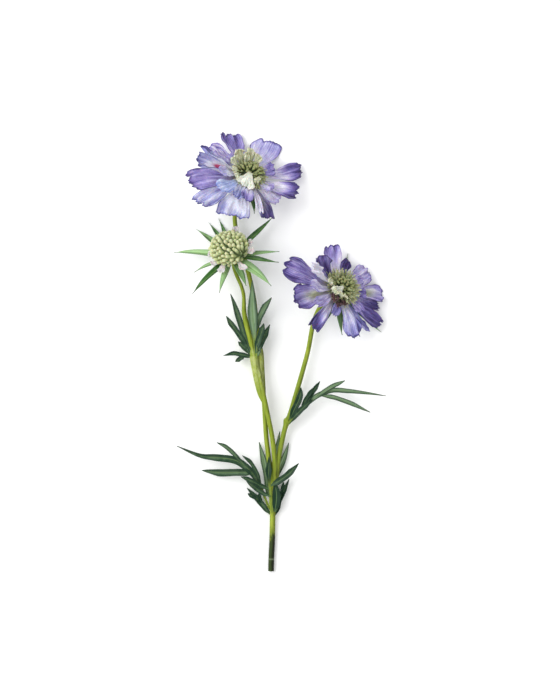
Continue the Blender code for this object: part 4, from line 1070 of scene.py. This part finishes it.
def build_object():
    petal_faces = [petal_finish("petal_face", 0.0), petal_finish("petal_back", 0.35)]
    bract_faces = [
        leaf_finish("bract_face", (0.028, 0.11, 0.015), (0.36, 0.56, 0.26), (0.14, 0.28, 0.06), margin=0.25),
        leaf_finish("bract_back", (0.06, 0.14, 0.04), (0.34, 0.52, 0.27), (0.17, 0.29, 0.10), margin=0.25),
    ]
    leaf_faces = [
        leaf_finish("leaf_face", (0.007, 0.036, 0.015), (0.24, 0.36, 0.20), (0.12, 0.21, 0.07)),
        leaf_finish("leaf_back", (0.04, 0.09, 0.055), (0.24, 0.36, 0.22), (0.13, 0.22, 0.10), under=0.15),
    ]
    pin = floret_finish("disc_pin", PIN_STEPS, (0.60, 0.61, 0.42))
    bud = floret_finish("young_bud", BUD_STEPS, (0.64, 0.64, 0.42))
    cream = frill_finish("cream_frill", (0.40, 0.43, 0.24), (0.74, 0.75, 0.60), (0.16, 0.21, 0.05))
    blush = frill_finish("young_frill", (0.52, 0.48, 0.49), (0.72, 0.68, 0.69), (0.36, 0.40, 0.24))
    brown = frill_finish("withered_frill", (0.034, 0.010, 0.015), (0.13, 0.06, 0.06), (0.02, 0.022, 0.010))
    white = frill_finish("white_frill", (0.55, 0.57, 0.46), (0.86, 0.87, 0.83), (0.44, 0.46, 0.34))

    stem_piece()
    leaf_pieces(leaf_faces)
    for bloom in BLOOMS:
        side, head = bloom.side, bloom.head
        bracts_pieces(f"{side}_bracts", head, bloom.bracts, OPEN_BRACT_ROOT, OPEN_CUP, f"{side}_head_bracts",
                      bract_faces)
        petals_piece(bloom, petal_faces)
        pins_piece(bloom, pin)
        florets_piece(f"{side}_disc_frills", head, bloom.inner, INNER_ROOT, FIRST_INNER, cream, lobes=2,
                      frill=1.1)
    for name, head, florets, root, material in (
        ("top_white_floret", TOP_HEAD, TOP_WHITE, WHITE_ROOT, white),
        ("right_white_floret", RIGHT_HEAD, RIGHT_WHITE, WHITE_ROOT, white),
        ("withered_florets", RIGHT_HEAD, RIGHT_WITHERED, WITHERED_ROOT, brown),
    ):
        florets_piece(name, head, florets, root, FIRST_FLORET, material, lobes=3, frill=1.3)
    bracts_pieces("young_bracts", YOUNG_HEAD, YOUNG_BRACTS, YOUNG_BRACT_ROOT, YOUNG_CUP, "young_head_bracts",
                  bract_faces)
    buds_piece(bud)
    florets_piece("young_petal_bits", YOUNG_HEAD, YOUNG_INNER, YOUNG_BIT_ROOT, FIRST_BIT, blush, lobes=2,
                  frill=0.6, solved=True)


# Studio


def build_studio():
    scene = bpy.context.scene
    floor_bm = bmesh.new()
    bmesh.ops.create_grid(floor_bm, x_segments=1, y_segments=1, size=FLOOR_HALF)
    mesh = bpy.data.meshes.new("floor")
    floor_bm.to_mesh(mesh)
    floor_bm.free()
    floor = bpy.data.objects.new("floor", mesh)
    scene.collection.objects.link(floor)
    paper = Finish("floor_paper", Roughness=0.9, Base_Color=(0.97, 0.97, 0.97, 1), Specular_IOR_Level=0.1)
    mesh.materials.append(paper.material)

    world = bpy.data.worlds.new("studio")
    world.use_nodes = True
    world.node_tree.nodes["Background"].inputs["Color"].default_value = (1, 1, 1, 1)
    world.node_tree.nodes["Background"].inputs["Strength"].default_value = SKY
    scene.world = world
    for name, spot, power in LAMPS:
        light = bpy.data.lights.new(name, "AREA")
        light.energy = power
        light.size = LAMP_WIDTH
        lamp = bpy.data.objects.new(name, light)
        lamp.location = spot
        lamp.rotation_euler = (-Vector(spot)).to_track_quat("-Z", "Y").to_euler()
        scene.collection.objects.link(lamp)
    scene.view_settings.view_transform = "Standard"


def build_camera():
    camera = bpy.data.cameras.new("camera")
    camera.lens = LENS
    camera.sensor_width = SENSOR
    camera.clip_end = 20.0
    eye = bpy.data.objects.new("camera", camera)
    middle_x = CUT_END.x + (PICTURE[0] / 2 - CUT_END_PIXEL[0]) * PIXEL
    middle_y = CUT_END.y + (CUT_END_PIXEL[1] - PICTURE[1] / 2) * PIXEL
    height = PICTURE[1] * PIXEL * LENS / SENSOR
    eye.location = Vector((middle_x, middle_y, height)) * MM
    bpy.context.scene.collection.objects.link(eye)
    bpy.context.scene.camera = eye


build_object()
build_studio()
build_camera()
